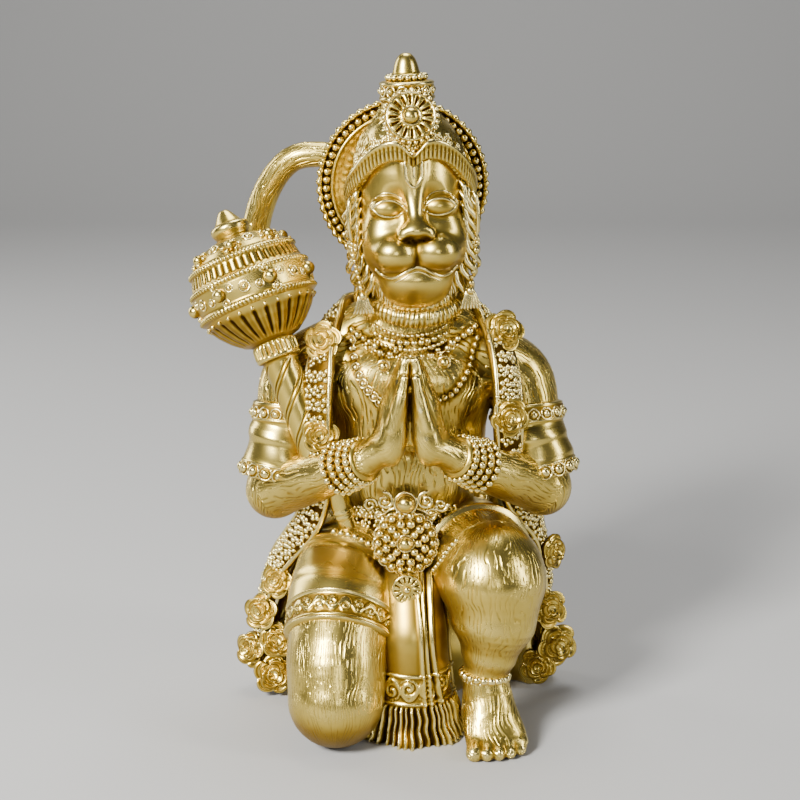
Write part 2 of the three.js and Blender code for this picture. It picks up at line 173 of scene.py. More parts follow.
def curve_through(points, steps):
    """A smooth centripetal curve through points in the plane or in space, with some steps to each span."""
    points = np.asarray(points, float)
    rows = np.vstack([2 * points[0] - points[1], points, 2 * points[-1] - points[-2]])
    out = []
    for i in range(1, len(rows) - 2):
        p0, p1, p2, p3 = rows[i - 1:i + 3]
        d0, d1, d2 = [max(math.sqrt(np.linalg.norm(step)), 1e-4) for step in (p1 - p0, p2 - p1, p3 - p2)]
        t1 = ((p1 - p0) / d0 - (p2 - p0) / (d0 + d1) + (p2 - p1) / d1) * d1
        t2 = ((p2 - p1) / d1 - (p3 - p1) / (d1 + d2) + (p3 - p2) / d2) * d1
        for u in np.arange(steps) / steps:
            out.append(p1 + t1 * u + (3 * (p2 - p1) - 2 * t1 - t2) * u ** 2
                       + (2 * (p1 - p2) + t1 + t2) * u ** 3)
    out.append(rows[-2])
    return np.array(out)


def carried(tangent):
    """A side direction that is carried along a path without twisting."""
    start = np.eye(3)[np.argmin(np.abs(tangent[0]))]
    rows = [start - tangent[0] * (tangent[0] @ start)]
    for t in tangent[1:]:
        rows.append(rows[-1] - t * (t @ rows[-1]))
    return np.array(rows)


class Curve:
    """A smooth path with a half width and half depth along it, from stations [x, y, z, width, depth]."""

    def __init__(self, stations, across=(1, 0, 0), steps=6):
        rows = np.array([list(s) + [s[3]] * (5 - len(s)) for s in stations], float)
        self.points = curve_through(rows[:, :3], steps)
        place = np.linspace(0, len(rows) - 1, len(self.points))
        i = np.minimum(place.astype(int), len(rows) - 2)
        self.size = rows[i, 3:5] + (rows[i + 1, 3:5] - rows[i, 3:5]) * eased(place - i)[:, None]
        tangent = np.gradient(self.points, axis=0)
        self.tangent = tangent / np.linalg.norm(tangent, axis=1)[:, None]
        across = np.asarray(across, float)
        side = across - self.tangent * (self.tangent @ across)[:, None]
        if np.linalg.norm(side, axis=1).min() < 0.3:
            side = carried(self.tangent)
        self.side = side / np.linalg.norm(side, axis=1)[:, None]
        self.deep = np.cross(self.tangent, self.side)
        self.along = lengths_along(self.points)

    def at(self, t):
        """Point, side, deep, tangent and size at shares t of the way along."""
        place = np.clip(np.asarray(t, float), 0, 1) * (len(self.points) - 1)
        i = np.minimum(place.astype(int), len(self.points) - 2)
        s = (place - i)[..., None]
        fields = (self.points, self.side, self.deep, self.tangent, self.size)
        return [rows[i] * (1 - s) + rows[i + 1] * s for rows in fields]

    def local(self, P):
        """For each point: its share along, offsets across, deep and beyond the ends, and the size there."""
        best, place = np.full(len(P), 1e9, F), np.zeros(len(P), F)
        for i in range(len(self.points) - 1):
            a = self.points[i].astype(F)
            ab = (self.points[i + 1] - self.points[i]).astype(F)
            rel = P - a
            s = np.clip(rel @ ab / (ab @ ab), 0, 1)
            rel -= s[:, None] * ab
            d = np.einsum("ij,ij->i", rel, rel)
            nearer = d < best
            best[nearer], place[nearer] = d[nearer], (i + s)[nearer]
        last = len(self.points) - 1
        centre, side, deep, tangent, size = self.at(place / last)
        off = P - centre
        w = (off * tangent).sum(1) * ((place <= 1e-6) | (place >= last - 1e-6))
        return place / last, (off * side).sum(1), (off * deep).sum(1), w, size


# Solids as distance fields.

class Shape:
    """A solid: the box that holds it and a function that gives signed distances."""

    def __init__(self, low, high, distance):
        self.low, self.high, self.distance = np.array(low, float), np.array(high, float), distance


def stretched(q, radii):
    """Signed distance, near enough, to an ellipsoid; its radii are given once or for each point."""
    k0 = np.sqrt(((q / radii) ** 2).sum(1))
    k1 = np.sqrt(((q / radii ** 2) ** 2).sum(1))
    return np.where(k1 > 1e-5, k0 / np.maximum(k1, 1e-5), radii.min(-1)) * (k0 - 1)


def ball(centre, radii):
    c, r = np.array(centre, float), np.array(radii, float)
    return Shape(c - r, c + r, lambda P: stretched(P - c, r))


def tube(stations, across=(1, 0, 0), relief=None, steps=6):
    """A rounded tube; relief(angle, share along, points) gives how far its skin stands out."""
    curve = Curve(stations, across, steps)
    reach = curve.size.max(1).max() * 1.02 + (1.5 if relief else 0)
    low, high = curve.points.min(0) - reach, curve.points.max(0) + reach

    def distance(P):
        t, u, v, w, size = curve.local(P)
        radii = np.stack([size[:, 0], size[:, 1], size.min(1)], 1)
        d = stretched(np.stack([u, v, w], 1), radii)
        if relief:
            d = d - relief(np.arctan2(v / size[:, 1], u / size[:, 0]), t, P)
        return d

    return Shape(low, high, distance)


class Sculpt:
    """Solids added to and cut from each other with soft seams."""

    def __init__(self):
        self.steps, self.floor = [], False

    def add(self, shape, k=1.0):
        self.steps.append((shape, k, 1))

    def cut(self, shape, k=0.5):
        self.steps.append((shape, k, -1))

    @staticmethod
    def blended(a, b, k, sign):
        if sign < 0:
            return -Sculpt.blended(-a, b, k, 1)
        h = np.maximum(k - np.abs(a - b), 0) / k
        return np.minimum(a, b) - h * h * (k * 0.25)

    def distance(self, P):
        f = np.full(len(P), FAR, F)
        for shape, k, sign in self.steps:
            reach = k + 2.0
            near = np.flatnonzero(((P > shape.low - reach) & (P < shape.high + reach)).all(1))
            if len(near):
                f[near] = self.blended(f[near], shape.distance(P[near]), k, sign)
        if self.floor:
            f = np.maximum(f, -P[:, 2])
        return f

    def skin(self, cell):
        """The surface as vertices and quads."""
        low = np.min([s.low for s, _, sign in self.steps if sign > 0], axis=0) - 2 * cell - 1
        high = np.max([s.high for s, _, sign in self.steps if sign > 0], axis=0) + 2 * cell + 1
        if self.floor:
            low[2] = max(low[2], -2.5 * cell)
        count = np.ceil((high - low) / cell).astype(int) + 1
        f = np.full(count, FAR, F)
        for shape, k, sign in self.steps:
            reach = k + 3 * cell
            a = np.clip(np.floor((shape.low - reach - low) / cell).astype(int), 0, count)
            b = np.clip(np.ceil((shape.high + reach - low) / cell).astype(int) + 1, 0, count)
            if (b <= a).any():
                continue
            for start in range(a[0], b[0], SLAB):
                stop = min(start + SLAB, b[0])
                spans = ((start, stop), (a[1], b[1]), (a[2], b[2]))
                axes = [low[i] + cell * np.arange(*span) for i, span in enumerate(spans)]
                P = np.stack(np.meshgrid(*axes, indexing="ij"), -1).reshape(-1, 3).astype(F)
                part = f[start:stop, a[1]:b[1], a[2]:b[2]]
                d = shape.distance(P).astype(F).reshape(part.shape)
                part[...] = self.blended(part, d, k, sign)
        if self.floor:
            f = np.maximum(f, -(low[2] + cell * np.arange(count[2]))[None, None, :])
        co, quads = surface_net(f, low, cell)
        for _ in range(3):  # smoothing passes
            d = self.distance(co.astype(F))
            co -= normals_of(co, quads) * np.clip(d, -0.7 * cell, 0.7 * cell)[:, None]
        if self.floor:
            co[:, 2] = np.maximum(co[:, 2], 0)
        return co, quads


def surface_net(f, low, cell):
    inside = f < 0
    size = np.array(f.shape)
    stride = np.array([size[1] * size[2], size[2], 1])
    quads, points = [], []
    for axis in range(3):
        u, v = (axis + 1) % 3, (axis + 2) % 3
        head, tail = [slice(None)] * 3, [slice(None)] * 3
        head[axis], tail[axis] = slice(0, -1), slice(1, None)
        where = np.argwhere(inside[tuple(head)] != inside[tuple(tail)])
        aside = where[:, (u, v)]
        where = where[((aside > 0) & (aside < size[[u, v]] - 1)).all(1)]
        beyond = where.copy()
        beyond[:, axis] += 1
        near, far = f[tuple(where.T)], f[tuple(beyond.T)]
        point = where.astype(float)
        point[:, axis] += near / (near - far)
        base = where @ stride
        ring = np.stack([base - stride[u] - stride[v], base - stride[v], base, base - stride[u]], 1)
        inward = near >= 0
        ring[inward] = ring[inward][:, ::-1]
        quads.append(ring)
        points.append(point)
    quads, points = np.concatenate(quads), np.concatenate(points)
    ids, index = np.unique(quads.ravel(), return_inverse=True)
    index = index.reshape(-1)
    shared = np.repeat(points, 4, axis=0)
    total = np.bincount(index, minlength=len(ids))
    co = np.stack([np.bincount(index, weights=shared[:, i]) / total for i in range(3)], 1)
    return low + cell * co, index.reshape(-1, 4)


def normals_of(co, quads):
    n = np.cross(co[quads[:, 2]] - co[quads[:, 0]], co[quads[:, 3]] - co[quads[:, 1]])
    total = np.stack([sum(np.bincount(corner, weights=n[:, i], minlength=len(co)) for corner in quads.T)
                      for i in range(3)], 1)
    return total / np.maximum(np.linalg.norm(total, axis=1), 1e-9)[:, None]


def drop_on(sculpt, x, z):
    """The y of the first surface that is met from the front at each x and z."""
    x, z = np.broadcast_arrays(np.asarray(x, float), np.asarray(z, float))
    y = np.full(x.shape, -34.0)  # well in front of the body
    for _ in range(60):
        d = sculpt.distance(np.stack([x, y, z], -1).reshape(-1, 3).astype(F)).reshape(x.shape)
        y = y + np.clip(d, -1, 1.5) * 0.8
    return np.minimum(y, 4.0)


# Meshes made directly, collected in batches.

class Batch:
    """Parts of one piece: vertices, faces of three or four corners, fur, and painted shade."""

    def __init__(self):
        self.co, self.quads, self.tris, self.fur, self.recess, self.count = [], [], [], [], [], 0

    def add(self, co, quads=None, tris=None, fur=None, recess=0.0):
        """Each row of fur is what combed gives for a vertex; the painted shade runs from 0 to 1."""
        co = np.asarray(co, float)
        if quads is not None and len(quads):
            self.quads.append(np.asarray(quads) + self.count)
        if tris is not None and len(tris):
            self.tris.append(np.asarray(tris) + self.count)
        self.co.append(co)
        self.fur.append(np.zeros((len(co), 5)) if fur is None else fur)
        self.recess.append(np.broadcast_to(np.ravel(recess), (len(co),)))
        self.count += len(co)

    def on_head(self):
        """From the head's own frame to its place on the figure."""
        self.co = [co @ HEAD_TURN.T + HEAD_AT for co in self.co]

    def grounded(self):
        """Nothing goes under the floor."""
        self.co = [np.column_stack([co[:, :2], np.maximum(co[:, 2], 0)]) for co in self.co]

    def piece(self, name, material):
        co = np.concatenate(self.co)
        quads = np.concatenate(self.quads) if self.quads else np.zeros((0, 4), int)
        tris = np.concatenate(self.tris) if self.tris else np.zeros((0, 3), int)
        mesh = bpy.data.meshes.new(name)
        mesh.vertices.add(len(co))
        mesh.vertices.foreach_set("co", (co * M).astype(F).ravel())
        loops = np.concatenate([quads.ravel(), tris.ravel()]).astype(np.int32)
        mesh.loops.add(len(loops))
        mesh.loops.foreach_set("vertex_index", loops)
        starts = np.concatenate([4 * np.arange(len(quads)), 4 * len(quads) + 3 * np.arange(len(tris))])
        mesh.polygons.add(len(starts))
        mesh.polygons.foreach_set("loop_start", starts.astype(np.int32))
        mesh.polygons.foreach_set("use_smooth", np.ones(len(starts), bool))
        mesh.update(calc_edges=True)
        mesh.validate()
        fur = np.concatenate(self.fur).astype(F)
        recess = np.concatenate(self.recess).astype(F)
        # The painted shade is stored as a vertex attribute, which the material reads to darken the colour.
        for layer, values in (("fur", fur[:, :3]), ("strokes", fur[:, 3]), ("count", fur[:, 4]),
                              ("recess", recess)):
            kind, field = ("FLOAT_VECTOR", "vector") if values.ndim == 2 else ("FLOAT", "value")
            data = mesh.attributes.new(layer, kind, "POINT").data
            data.foreach_set(field, np.ascontiguousarray(values).ravel())
        mesh.materials.append(material)
        thing = linked(name, mesh)
        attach(thing, "root")
        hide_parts("figure")
        print(f"piece {name}: {2 * len(quads) + len(tris)} triangles")


def grid_faces(rows, columns):
    """Quads over a grid of vertices, row by row, closed round the columns."""
    r, c = np.meshgrid(np.arange(rows - 1), np.arange(columns), indexing="ij")
    n = (c + 1) % columns
    a = r * columns + c
    return np.stack([a, r * columns + n, (r + 1) * columns + n, (r + 1) * columns + c], -1).reshape(-1, 4)


def closed_grid(rows, columns):
    """Quads over a grid of vertices that is closed along the rows as well."""
    return grid_faces(rows + 1, columns)[:, ::-1] % (rows * columns)


def swept(batch, stations, around=12, along=24, across=(1, 0, 0), steps=6, cap=1.0, rows=4, fur=0,
          relief=None, recess=None):
    """A tube mesh along a smooth path with rounded ends; relief(angle, share) lifts its skin."""
    curve = stations if isinstance(stations, Curve) else Curve(stations, across, steps)
    ends = np.array([math.sin(math.pi / 2 * k / rows) for k in range(rows)])
    t = np.concatenate([np.zeros(rows), np.linspace(0, 1, along + 1), np.ones(rows)])
    swell = np.concatenate([np.maximum(ends, 0.02), np.ones(along + 1), np.maximum(ends[::-1], 0.02)])
    back = np.sqrt(1 - np.square(ends))
    push = np.concatenate([-back, np.zeros(along + 1), back[::-1]])
    centre, side, deep, tangent, size = curve.at(t)
    A, T = np.meshgrid(turns(around), t)
    lift = relief(A, T) if relief else np.zeros_like(A)
    middle = centre + tangent * (push * size.min(1) * cap)[:, None]
    wide, tall = [turn * (half * swell[:, None] + lift * swell[:, None])
                  for turn, half in ((np.cos(A), size[:, :1]), (np.sin(A), size[:, 1:]))]
    co = middle[:, None, :] + wide[..., None] * side[:, None, :] + tall[..., None] * deep[:, None, :]
    grain = None
    if fur:
        mean = size.mean(1)[:, None]
        down = np.interp(t, np.linspace(0, 1, len(curve.along)), curve.along)[:, None] + np.zeros_like(A)
        count = np.full_like(A, round(TAU * float(size.mean()) / 1.1))
        grain = np.stack([np.cos(A) * mean, np.sin(A) * mean, down, np.full_like(A, fur), count],
                         -1).reshape(-1, 5)
    batch.add(co.reshape(-1, 3), grid_faces(len(t), around), fur=grain,
              recess=recess(A, T) if recess else 0.0)


def profile_through(points, spacing, smooth=True):
    """A profile [radius, height] sampled evenly, smooth or with its corners kept."""
    points = np.asarray(points, float)
    line = curve_through(points, 8) if smooth else points
    gaps = lengths_along(line)
    s = np.linspace(0, gaps[-1], max(int(gaps[-1] / spacing), 2) + 1)
    return np.stack([np.interp(s, gaps, line[:, i]) for i in (0, 1)], 1)


def revolved(batch, profile, position, axis, around=96, relief=None, recess=None):
    """A turned mesh; relief(angle, radius, height) lifts its skin along the profile's normal."""
    profile = np.asarray(profile, float)
    slope = np.gradient(profile, axis=0)
    normal = np.stack([slope[:, 1], -slope[:, 0]], 1)
    normal /= np.maximum(np.linalg.norm(normal, axis=1), 1e-9)[:, None]
    A, R = np.meshgrid(turns(around), profile[:, 0])
    H = np.broadcast_to(profile[:, 1:], A.shape)
    lift = relief(A, R, H) if relief else np.zeros_like(A)
    r = np.maximum(R + lift * normal[:, :1], 0)
    h = H + lift * normal[:, 1:]
    local = np.stack([r * np.sin(A), h, r * np.cos(A)], -1).reshape(-1, 3)
    co = local @ turned_to(axis).T + np.asarray(position, float)
    batch.add(co, grid_faces(len(profile), around), recess=recess(A, R, H) if recess else 0.0)


def icosphere(level):
    bm = bmesh.new()
    bmesh.ops.create_icosphere(bm, subdivisions=level, radius=1.0)
    bm.verts.ensure_lookup_table()
    co = np.array([v.co for v in bm.verts])
    tris = np.array([[v.index for v in face.verts] for face in bm.faces])
    bm.free()
    return co, tris


BEAD = icosphere(2)
FINE_BEAD = icosphere(3)
PETAL = icosphere(1)


def beads(batch, centres, radii, axis=None, squash=1.0, fine=False):
    """Round beads, with a little painted shade all over and more round the foot; with an axis and a squash
    they are flattened along it.
    """
    co, tris = FINE_BEAD if fine else BEAD
    centres = np.atleast_2d(np.asarray(centres, float))
    radii = np.broadcast_to(np.asarray(radii, float), (len(centres),))
    for c, r in zip(centres, radii):
        a = unit((c[0], c[1] - 6, 2) if axis is None else axis)
        local = co * r
        local = local - np.outer(local @ a, a) * (1 - squash)
        # Painted shade: a little all over, more on the half that turns in towards the body.
        batch.add(local + c, tris=tris, recess=0.15 + 0.7 * ramp(-(co @ a), -0.3, 0.15))


def ring(batch, centre, axis, radius, thick, around=14, section=6):
    """A small torus round an axis, with painted shade on its underside."""
    R = turned_to(axis, (0, 0, 1))
    A, B = np.meshgrid(turns(section), turns(around))
    r = radius + thick * np.cos(A)
    local = np.stack([r * np.cos(B), r * np.sin(B), thick * np.sin(A)], -1).reshape(-1, 3)
    shade = 0.7 * ramp(-np.sin(A), -0.3, 0.5)
    batch.add(local @ R.T + np.asarray(centre, float), closed_grid(around, section), recess=shade)


def floret(batch, centre, axis, radius):
    """A small flower, finer than flower: a ring of round petals with a bead in the middle."""
    petals = 5
    R = turned_to(axis, (0, 0, 1))
    angle = TAU * (np.arange(petals) / petals)
    offset = np.stack([np.cos(angle), np.sin(angle), np.full(petals, -0.1)], 1) * radius * 0.6
    beads(batch, np.asarray(centre) + offset @ R.T, radius * 0.4, axis=axis, squash=0.6)
    beads(batch, [np.asarray(centre) + R @ (0, 0, 0.16 * radius)], radius * 0.34)


def flower(batch, centre, axis, radius, start):
    """A floret of five light, faceted petals, for where there are hundreds."""
    co, tris = PETAL
    R = turned_to(axis, (0, 0, 1))
    # Painted shade: each petal a little darker all over and much darker towards its foot; the middle bead
    # darker below.
    low = 0.1 + 0.25 * ramp(-co[:, 2], -1.0, -0.4) + 0.5 * ramp(-co[:, 2], -0.4, 0.2)
    for a in start + turns(5):
        offset = (radius * 0.62 * math.cos(a), radius * 0.62 * math.sin(a), 0.05 * radius)
        local = (co * radius * (0.40, 0.40, 0.34) + offset) @ R.T
        batch.add(local + np.asarray(centre), tris=tris, recess=low)
    middle = (co * radius * 0.28 + (0, 0, radius * 0.24)) @ R.T
    batch.add(middle + np.asarray(centre), tris=tris, recess=0.85 * ramp(-co[:, 2], -0.3, 0.2))


def rose(batch, centre, axis, radius, seed=0):
    """An open rose: whorls of cupped petals, each lapping the next, round a coiled bud."""
    around, rows = 80, 36
    whorls = ((1.0, 5, -0.05, 0.34), (0.76, 4, 0.14, 0.30), (0.53, 3, 0.30, 0.22), (0.30, 2, 0.42, 0.12))
    A, share = np.meshgrid(turns(around), np.linspace(0.004, 1.0, rows))

    def edge_of(whorl):
        reach, count = whorls[whorl][:2]
        lap = ((A / TAU + seed + 0.29 * whorl) * count) % 1
        return reach * (0.80 + 0.20 * np.sin(math.pi * lap ** 0.75)), lap

    outline, _ = edge_of(0)
    r = share * outline
    height, shade = np.full(A.shape, -9.0), np.zeros(A.shape)
    for k, (reach, count, level, cup) in enumerate(whorls):
        edge, lap = edge_of(k)
        inside = r <= edge + 1e-6
        near = np.clip(r / edge, 0, 1)
        petal = level + cup * near ** 2.2 - 0.12 * ramp(near, 0.86, 1.0) + 0.10 * (0.5 - lap)
        height = np.where(inside, np.maximum(height, petal), height)
        # Painted shade on each outer petal just outside the edge of the next whorl in.
        shade = np.where(inside, 0.0, np.maximum(shade, 0.6 * (1 - (r - edge) / 0.08))) if k else shade
    shade = np.clip(shade, 0, 1)
    under = [(0.985, -0.08), (0.9, -0.22), (0.6, -0.42), (0.05, -0.5)]
    rim_r = np.concatenate([r] + [outline[-1:] * s for s, _ in under])
    rim_h = np.concatenate([height] + [height[-1:] * 0.3 + h for _, h in under])
    rim_a = np.concatenate([A] + [A[-1:]] * len(under))
    # Painted shade on the underside rows.
    dark = np.concatenate([shade] + [np.full((1, around), 0.4)] * len(under))
    local = np.stack([rim_r * np.cos(rim_a), rim_r * np.sin(rim_a), rim_h], -1).reshape(-1, 3) * radius
    co = local @ turned_to(axis, (0, 0, 1)).T + np.asarray(centre, float)
    batch.add(co, grid_faces(len(rim_r), around), recess=dark)


# The one material, satin gold paint over resin.

def make_gold():
    """Satin gold paint, with painted shade in the recesses, in the fur's grooves and on the undersides, a
    painted highlight on the ridges, and a bump for the combed fur.
    """
    fur_depth, grain_depth, roughness = 0.00034, 0.00004, 0.28  # depths in metres
    paint = bpy.data.materials.new("gold_paint")
    paint.use_nodes = True
    tree = paint.node_tree
    nodes, links = tree.nodes, tree.links
    shader = nodes["Principled BSDF"]
    shader.inputs["Metallic"].default_value = 1.0

    def node(kind, **values):
        made = nodes.new(kind)
        for key, value in values.items():
            if key in made.inputs:
                made.inputs[key].default_value = value
            else:
                setattr(made, key, value)
        return made

    def ramp_of(source, stops):
        made = node("ShaderNodeValToRGB")
        made.color_ramp.elements.remove(made.color_ramp.elements[1])
        for i, (place, colour) in enumerate(stops):
            stop = made.color_ramp.elements[0] if i == 0 else made.color_ramp.elements.new(place)
            stop.position = place
            stop.color = (*colour, 1) if len(colour) == 3 else (colour[0],) * 3 + (1,)
        links.new(source, made.inputs["Fac"])
        return made.outputs["Color"]

    def arithmetic(operation, a, b=None, c=None):
        made = node("ShaderNodeMath", operation=operation)
        for socket, value in zip(made.inputs, (a, b, c)):
            if hasattr(value, "links"):
                links.new(value, socket)
            elif value is not None:
                socket.default_value = value
        return made.outputs[0]

    def noise(source, scale, detail=1.0):
        stretch = node("ShaderNodeMapping", vector_type="POINT")
        stretch.inputs["Scale"].default_value = scale
        links.new(source, stretch.inputs["Vector"])
        made = node("ShaderNodeTexNoise", Scale=1.0, Detail=detail, Roughness=0.4)
        links.new(stretch.outputs[0], made.inputs["Vector"])
        return made.outputs["Fac"]

    place = node("ShaderNodeTexCoord").outputs["Object"]
    point = node("ShaderNodeNewGeometry").outputs["Pointiness"]
    recess = node("ShaderNodeAttribute", attribute_name="recess").outputs["Fac"]
    # Painted shade and highlight: by pointiness the colour darkens in hollows and lightens on ridges and
    # edges, with a little random tone from the noise.
    height = arithmetic("MULTIPLY_ADD", noise(place, (90, 90, 90), 3.0), 0.04, point)
    # More painted shade where a piece asks for it through its vertex attribute.
    height = arithmetic("MULTIPLY_ADD", recess, -0.13, height)
    # Painted shade: faces that turn downwards are darker.
    facing = node("ShaderNodeSeparateXYZ")
    links.new(node("ShaderNodeNewGeometry").outputs["Normal"], facing.inputs[0])
    height = arithmetic("MULTIPLY_ADD", arithmetic("MINIMUM", facing.outputs["Z"], 0.1), 0.055, height)
    # Combed strokes run along each limb: wavering parallel grooves, broken up by a stretched noise.
    grown = node("ShaderNodeAttribute", attribute_name="fur").outputs["Vector"]
    strength = node("ShaderNodeAttribute", attribute_name="strokes").outputs["Fac"]
    count = node("ShaderNodeAttribute", attribute_name="count").outputs["Fac"]
    parts = node("ShaderNodeSeparateXYZ")
    links.new(grown, parts.inputs[0])
    turn = arithmetic("MULTIPLY", arithmetic("ARCTAN2", parts.outputs["Y"], parts.outputs["X"]), count)
    wave = arithmetic("SINE", arithmetic("MULTIPLY_ADD", noise(grown, (0.16, 0.16, 0.09)), 34.0, turn))
    lines = ramp_of(arithmetic("MULTIPLY_ADD", wave, 0.5, 0.5), [(0.02, (0,)), (0.45, (1,))])
    gaps = ramp_of(noise(grown, (0.8, 0.8, 0.34)), [(0.44, (0.95,)), (0.54, (0,))])
    strokes = arithmetic("MULTIPLY", arithmetic("MAXIMUM", lines, gaps), strength)
    # The grooves between the strokes are painted darker as well: painted shade.
    grooved = arithmetic("SUBTRACT", arithmetic("MINIMUM", strength, 1.0),
                         arithmetic("MINIMUM", strokes, 1.0))
    height = arithmetic("MULTIPLY_ADD", grooved, -0.045, height)
    # The colour runs from nearly black painted shade in the deepest hollows to a pale painted highlight on
    # the ridges.
    colour = ramp_of(height, [(0.41, (0.05, 0.022, 0.001)), (0.485, (0.33, 0.20, 0.020)),
                              (0.515, (0.60, 0.44, 0.085)),
                              (0.55, (0.72, 0.56, 0.150)), (0.62, (0.90, 0.77, 0.340))])
    links.new(colour, shader.inputs["Base Color"])
    dull = ramp_of(height, [(0.43, (roughness + 0.25,)), (0.52, (roughness,)), (0.60, (roughness - 0.06,))])
    links.new(dull, shader.inputs["Roughness"])
    fur = node("ShaderNodeBump", Strength=1.0, Distance=fur_depth)
    links.new(strokes, fur.inputs["Height"])
    fine = node("ShaderNodeTexNoise", Scale=2600.0, Detail=2.0)
    links.new(place, fine.inputs["Vector"])
    speck = node("ShaderNodeBump", Strength=0.25, Distance=grain_depth)
    links.new(fine.outputs["Fac"], speck.inputs["Height"])
    links.new(fur.outputs["Normal"], speck.inputs["Normal"])
    links.new(speck.outputs["Normal"], shader.inputs["Normal"])
    return paint


def combed(co, bones):
    """For each vertex: a place round and along the nearest limb, in three numbers, then the strength
    and the count of its strokes."""
    best = np.full(len(co), 1e9)
    fur = np.zeros((len(co), 5))
    P = co.astype(F)
    for i, (stations, across, strength) in enumerate(bones):
        curve = Curve(stations, across)
        t, u, v, w, size = curve.local(P)
        angle, mean = np.arctan2(v / size[:, 1], u / size[:, 0]), size.mean(1)
        d = np.sqrt(u * u + v * v + w * w) - mean
        nearer = d < best
        down = np.interp(t, np.linspace(0, 1, len(curve.along)), curve.along) + w
        count = np.full(len(co), round(TAU * float(curve.size.mean()) / (1.05 + 0.25 * strength)))
        rows = np.stack([np.cos(angle) * mean, np.sin(angle) * mean, down + 300 * i,
                         np.full(len(co), strength), count], 1)
        fur[nearer], best[nearer] = rows[nearer], d[nearer]
    return fur


# The body's joints and outlines, as in the solid.

ARMS = [
    dict(side=-1, collar=[-16, 3, 113], shoulder=[-34, 3, 105], elbow=[-41.2, -4, 69.5],
         wrist=[-12.6, -29, 86]),
    dict(side=1, collar=[16, 3, 113], shoulder=[33.8, 3, 104.4], elbow=[41.6, -4, 70.5], wrist=[14, -29, 87]),
]
TRUNK = [[-0.5, 6, 44, 26, 19], [0, 2, 64, 20.5, 16], [0, 1, 84, 24, 16.5], [0, 2, 106, 26, 16],
         [0.6, 2, 118, 12, 11]]
NECK = [[0.6, 2, 112, 11], [1, 0, 140, 10]]
HEAD_AT = np.array([1.2, 0, 150])


KNEEL_THIGH = [[-13, 8, 47, 17], [-18, -12, 42, 16.6], [-21.2, -31, 27, 15.2], [-21.5, -37.6, 14.6, 14.4]]
KNEEL_SHIN = [[-21, -34, 12.5, 12.4], [-23.5, -4, 11, 11], [-24, 29, 9, 6.6]]
KNEEL_FOOT = [[-24, 27, 12, 5.6, 6], [-24, 37, 9, 6.8, 5], [-24.5, 43, 3, 7.8, 3.4]]
RAISED_THIGH = [[13, 8, 47, 17], [20, -12, 50, 16.8], [25, -25, 49.5, 16]]
RAISED_SHIN = [[25.4, -27, 47, 15.8], [25.4, -30, 36, 13], [24.2, -31.5, 26.5, 8.6], [23, -32, 20, 6],
               [23.4, -32.6, 8, 6.4]]
RAISED_FOOT = [[23.4, -27, 6, 6.6, 5.8], [24.6, -36.5, 7.6, 8.2, 7.2], [26.6, -45.2, 3, 9.2, 3]]


def head_turn():
    x, y, z = [math.radians(a) for a in (1, -2.2, 3.5)]
    rx = np.array([[1, 0, 0], [0, math.cos(x), -math.sin(x)], [0, math.sin(x), math.cos(x)]])
    ry = np.array([[math.cos(y), 0, math.sin(y)], [0, 1, 0], [-math.sin(y), 0, math.cos(y)]])
    rz = np.array([[math.cos(z), -math.sin(z), 0], [math.sin(z), math.cos(z), 0], [0, 0, 1]])
    return rx @ ry @ rz


HEAD_TURN = head_turn()


def upper_arm(arm):
    middle = between(arm["shoulder"], arm["elbow"], 0.5)
    return [[*arm["collar"], 10], [*arm["shoulder"], 10.2], [*middle, 9.6], [*arm["elbow"], 8.8]]


def fore_arm(arm):
    return [[*arm["elbow"], 8.6], [*between(arm["elbow"], arm["wrist"], 0.4), 7.9], [*arm["wrist"], 5.0]]


def chest():
    """The trunk alone, which the necklaces are laid on."""
    s = Sculpt()
    s.add(tube(TRUNK, steps=5))
    for mirror in (-1, 1):
        s.add(ball((mirror * 10.5, -7.0, 103), (12.0, 7.4, 11.0)), k=5)
        s.add(ball((mirror * 7.5, -9.0, 84), (9, 6.5, 12)), k=6)
        s.add(tube([[mirror * 25, 1, 111, 9], [mirror * 13, 2, 119, 9]]), k=4)
    s.add(tube(NECK), k=3)
    s.add(ball((0, -11.0, 72), (14, 6, 11)), k=6)
    return s


# The body and the drapery behind it.

STRANDS = [  # long strands over the chest, as x and z
    [(-17, 117.4), (-17.1, 114.4), (-16.4, 112.1), (-15.6, 109.8), (-14.5, 107.5), (-12.8, 104.7),
     (-10.9, 102.4), (-8.6, 100.1), (-5, 97.5)],
    [(20.8, 118), (20, 115.5), (19.4, 113.8), (19.1, 111.5), (18, 109.2), (16.9, 107.3), (15.2, 105),
     (13.3, 102.7), (10.0, 101.2), (6, 99)],
]
FESTOONS = [(-7.4, 110.8, -1), (10.7, 111.7, 1)]


def festoon(x, z, way):
    """The outer and inner strands that a pendant at x and z hangs from."""
    outer = [(x + way * 9.5, z + 9.6), (x + way * 6.0, z + 7.2), (x + way * 2.4, z + 5.0),
             (x + way * 0.5, z + 2.6)]
    inner = [(x - way * 6.5, z + 6.5), (x - way * 3.2, z + 3.6), (x - way * 0.9, z + 2.8)]
    return outer, inner


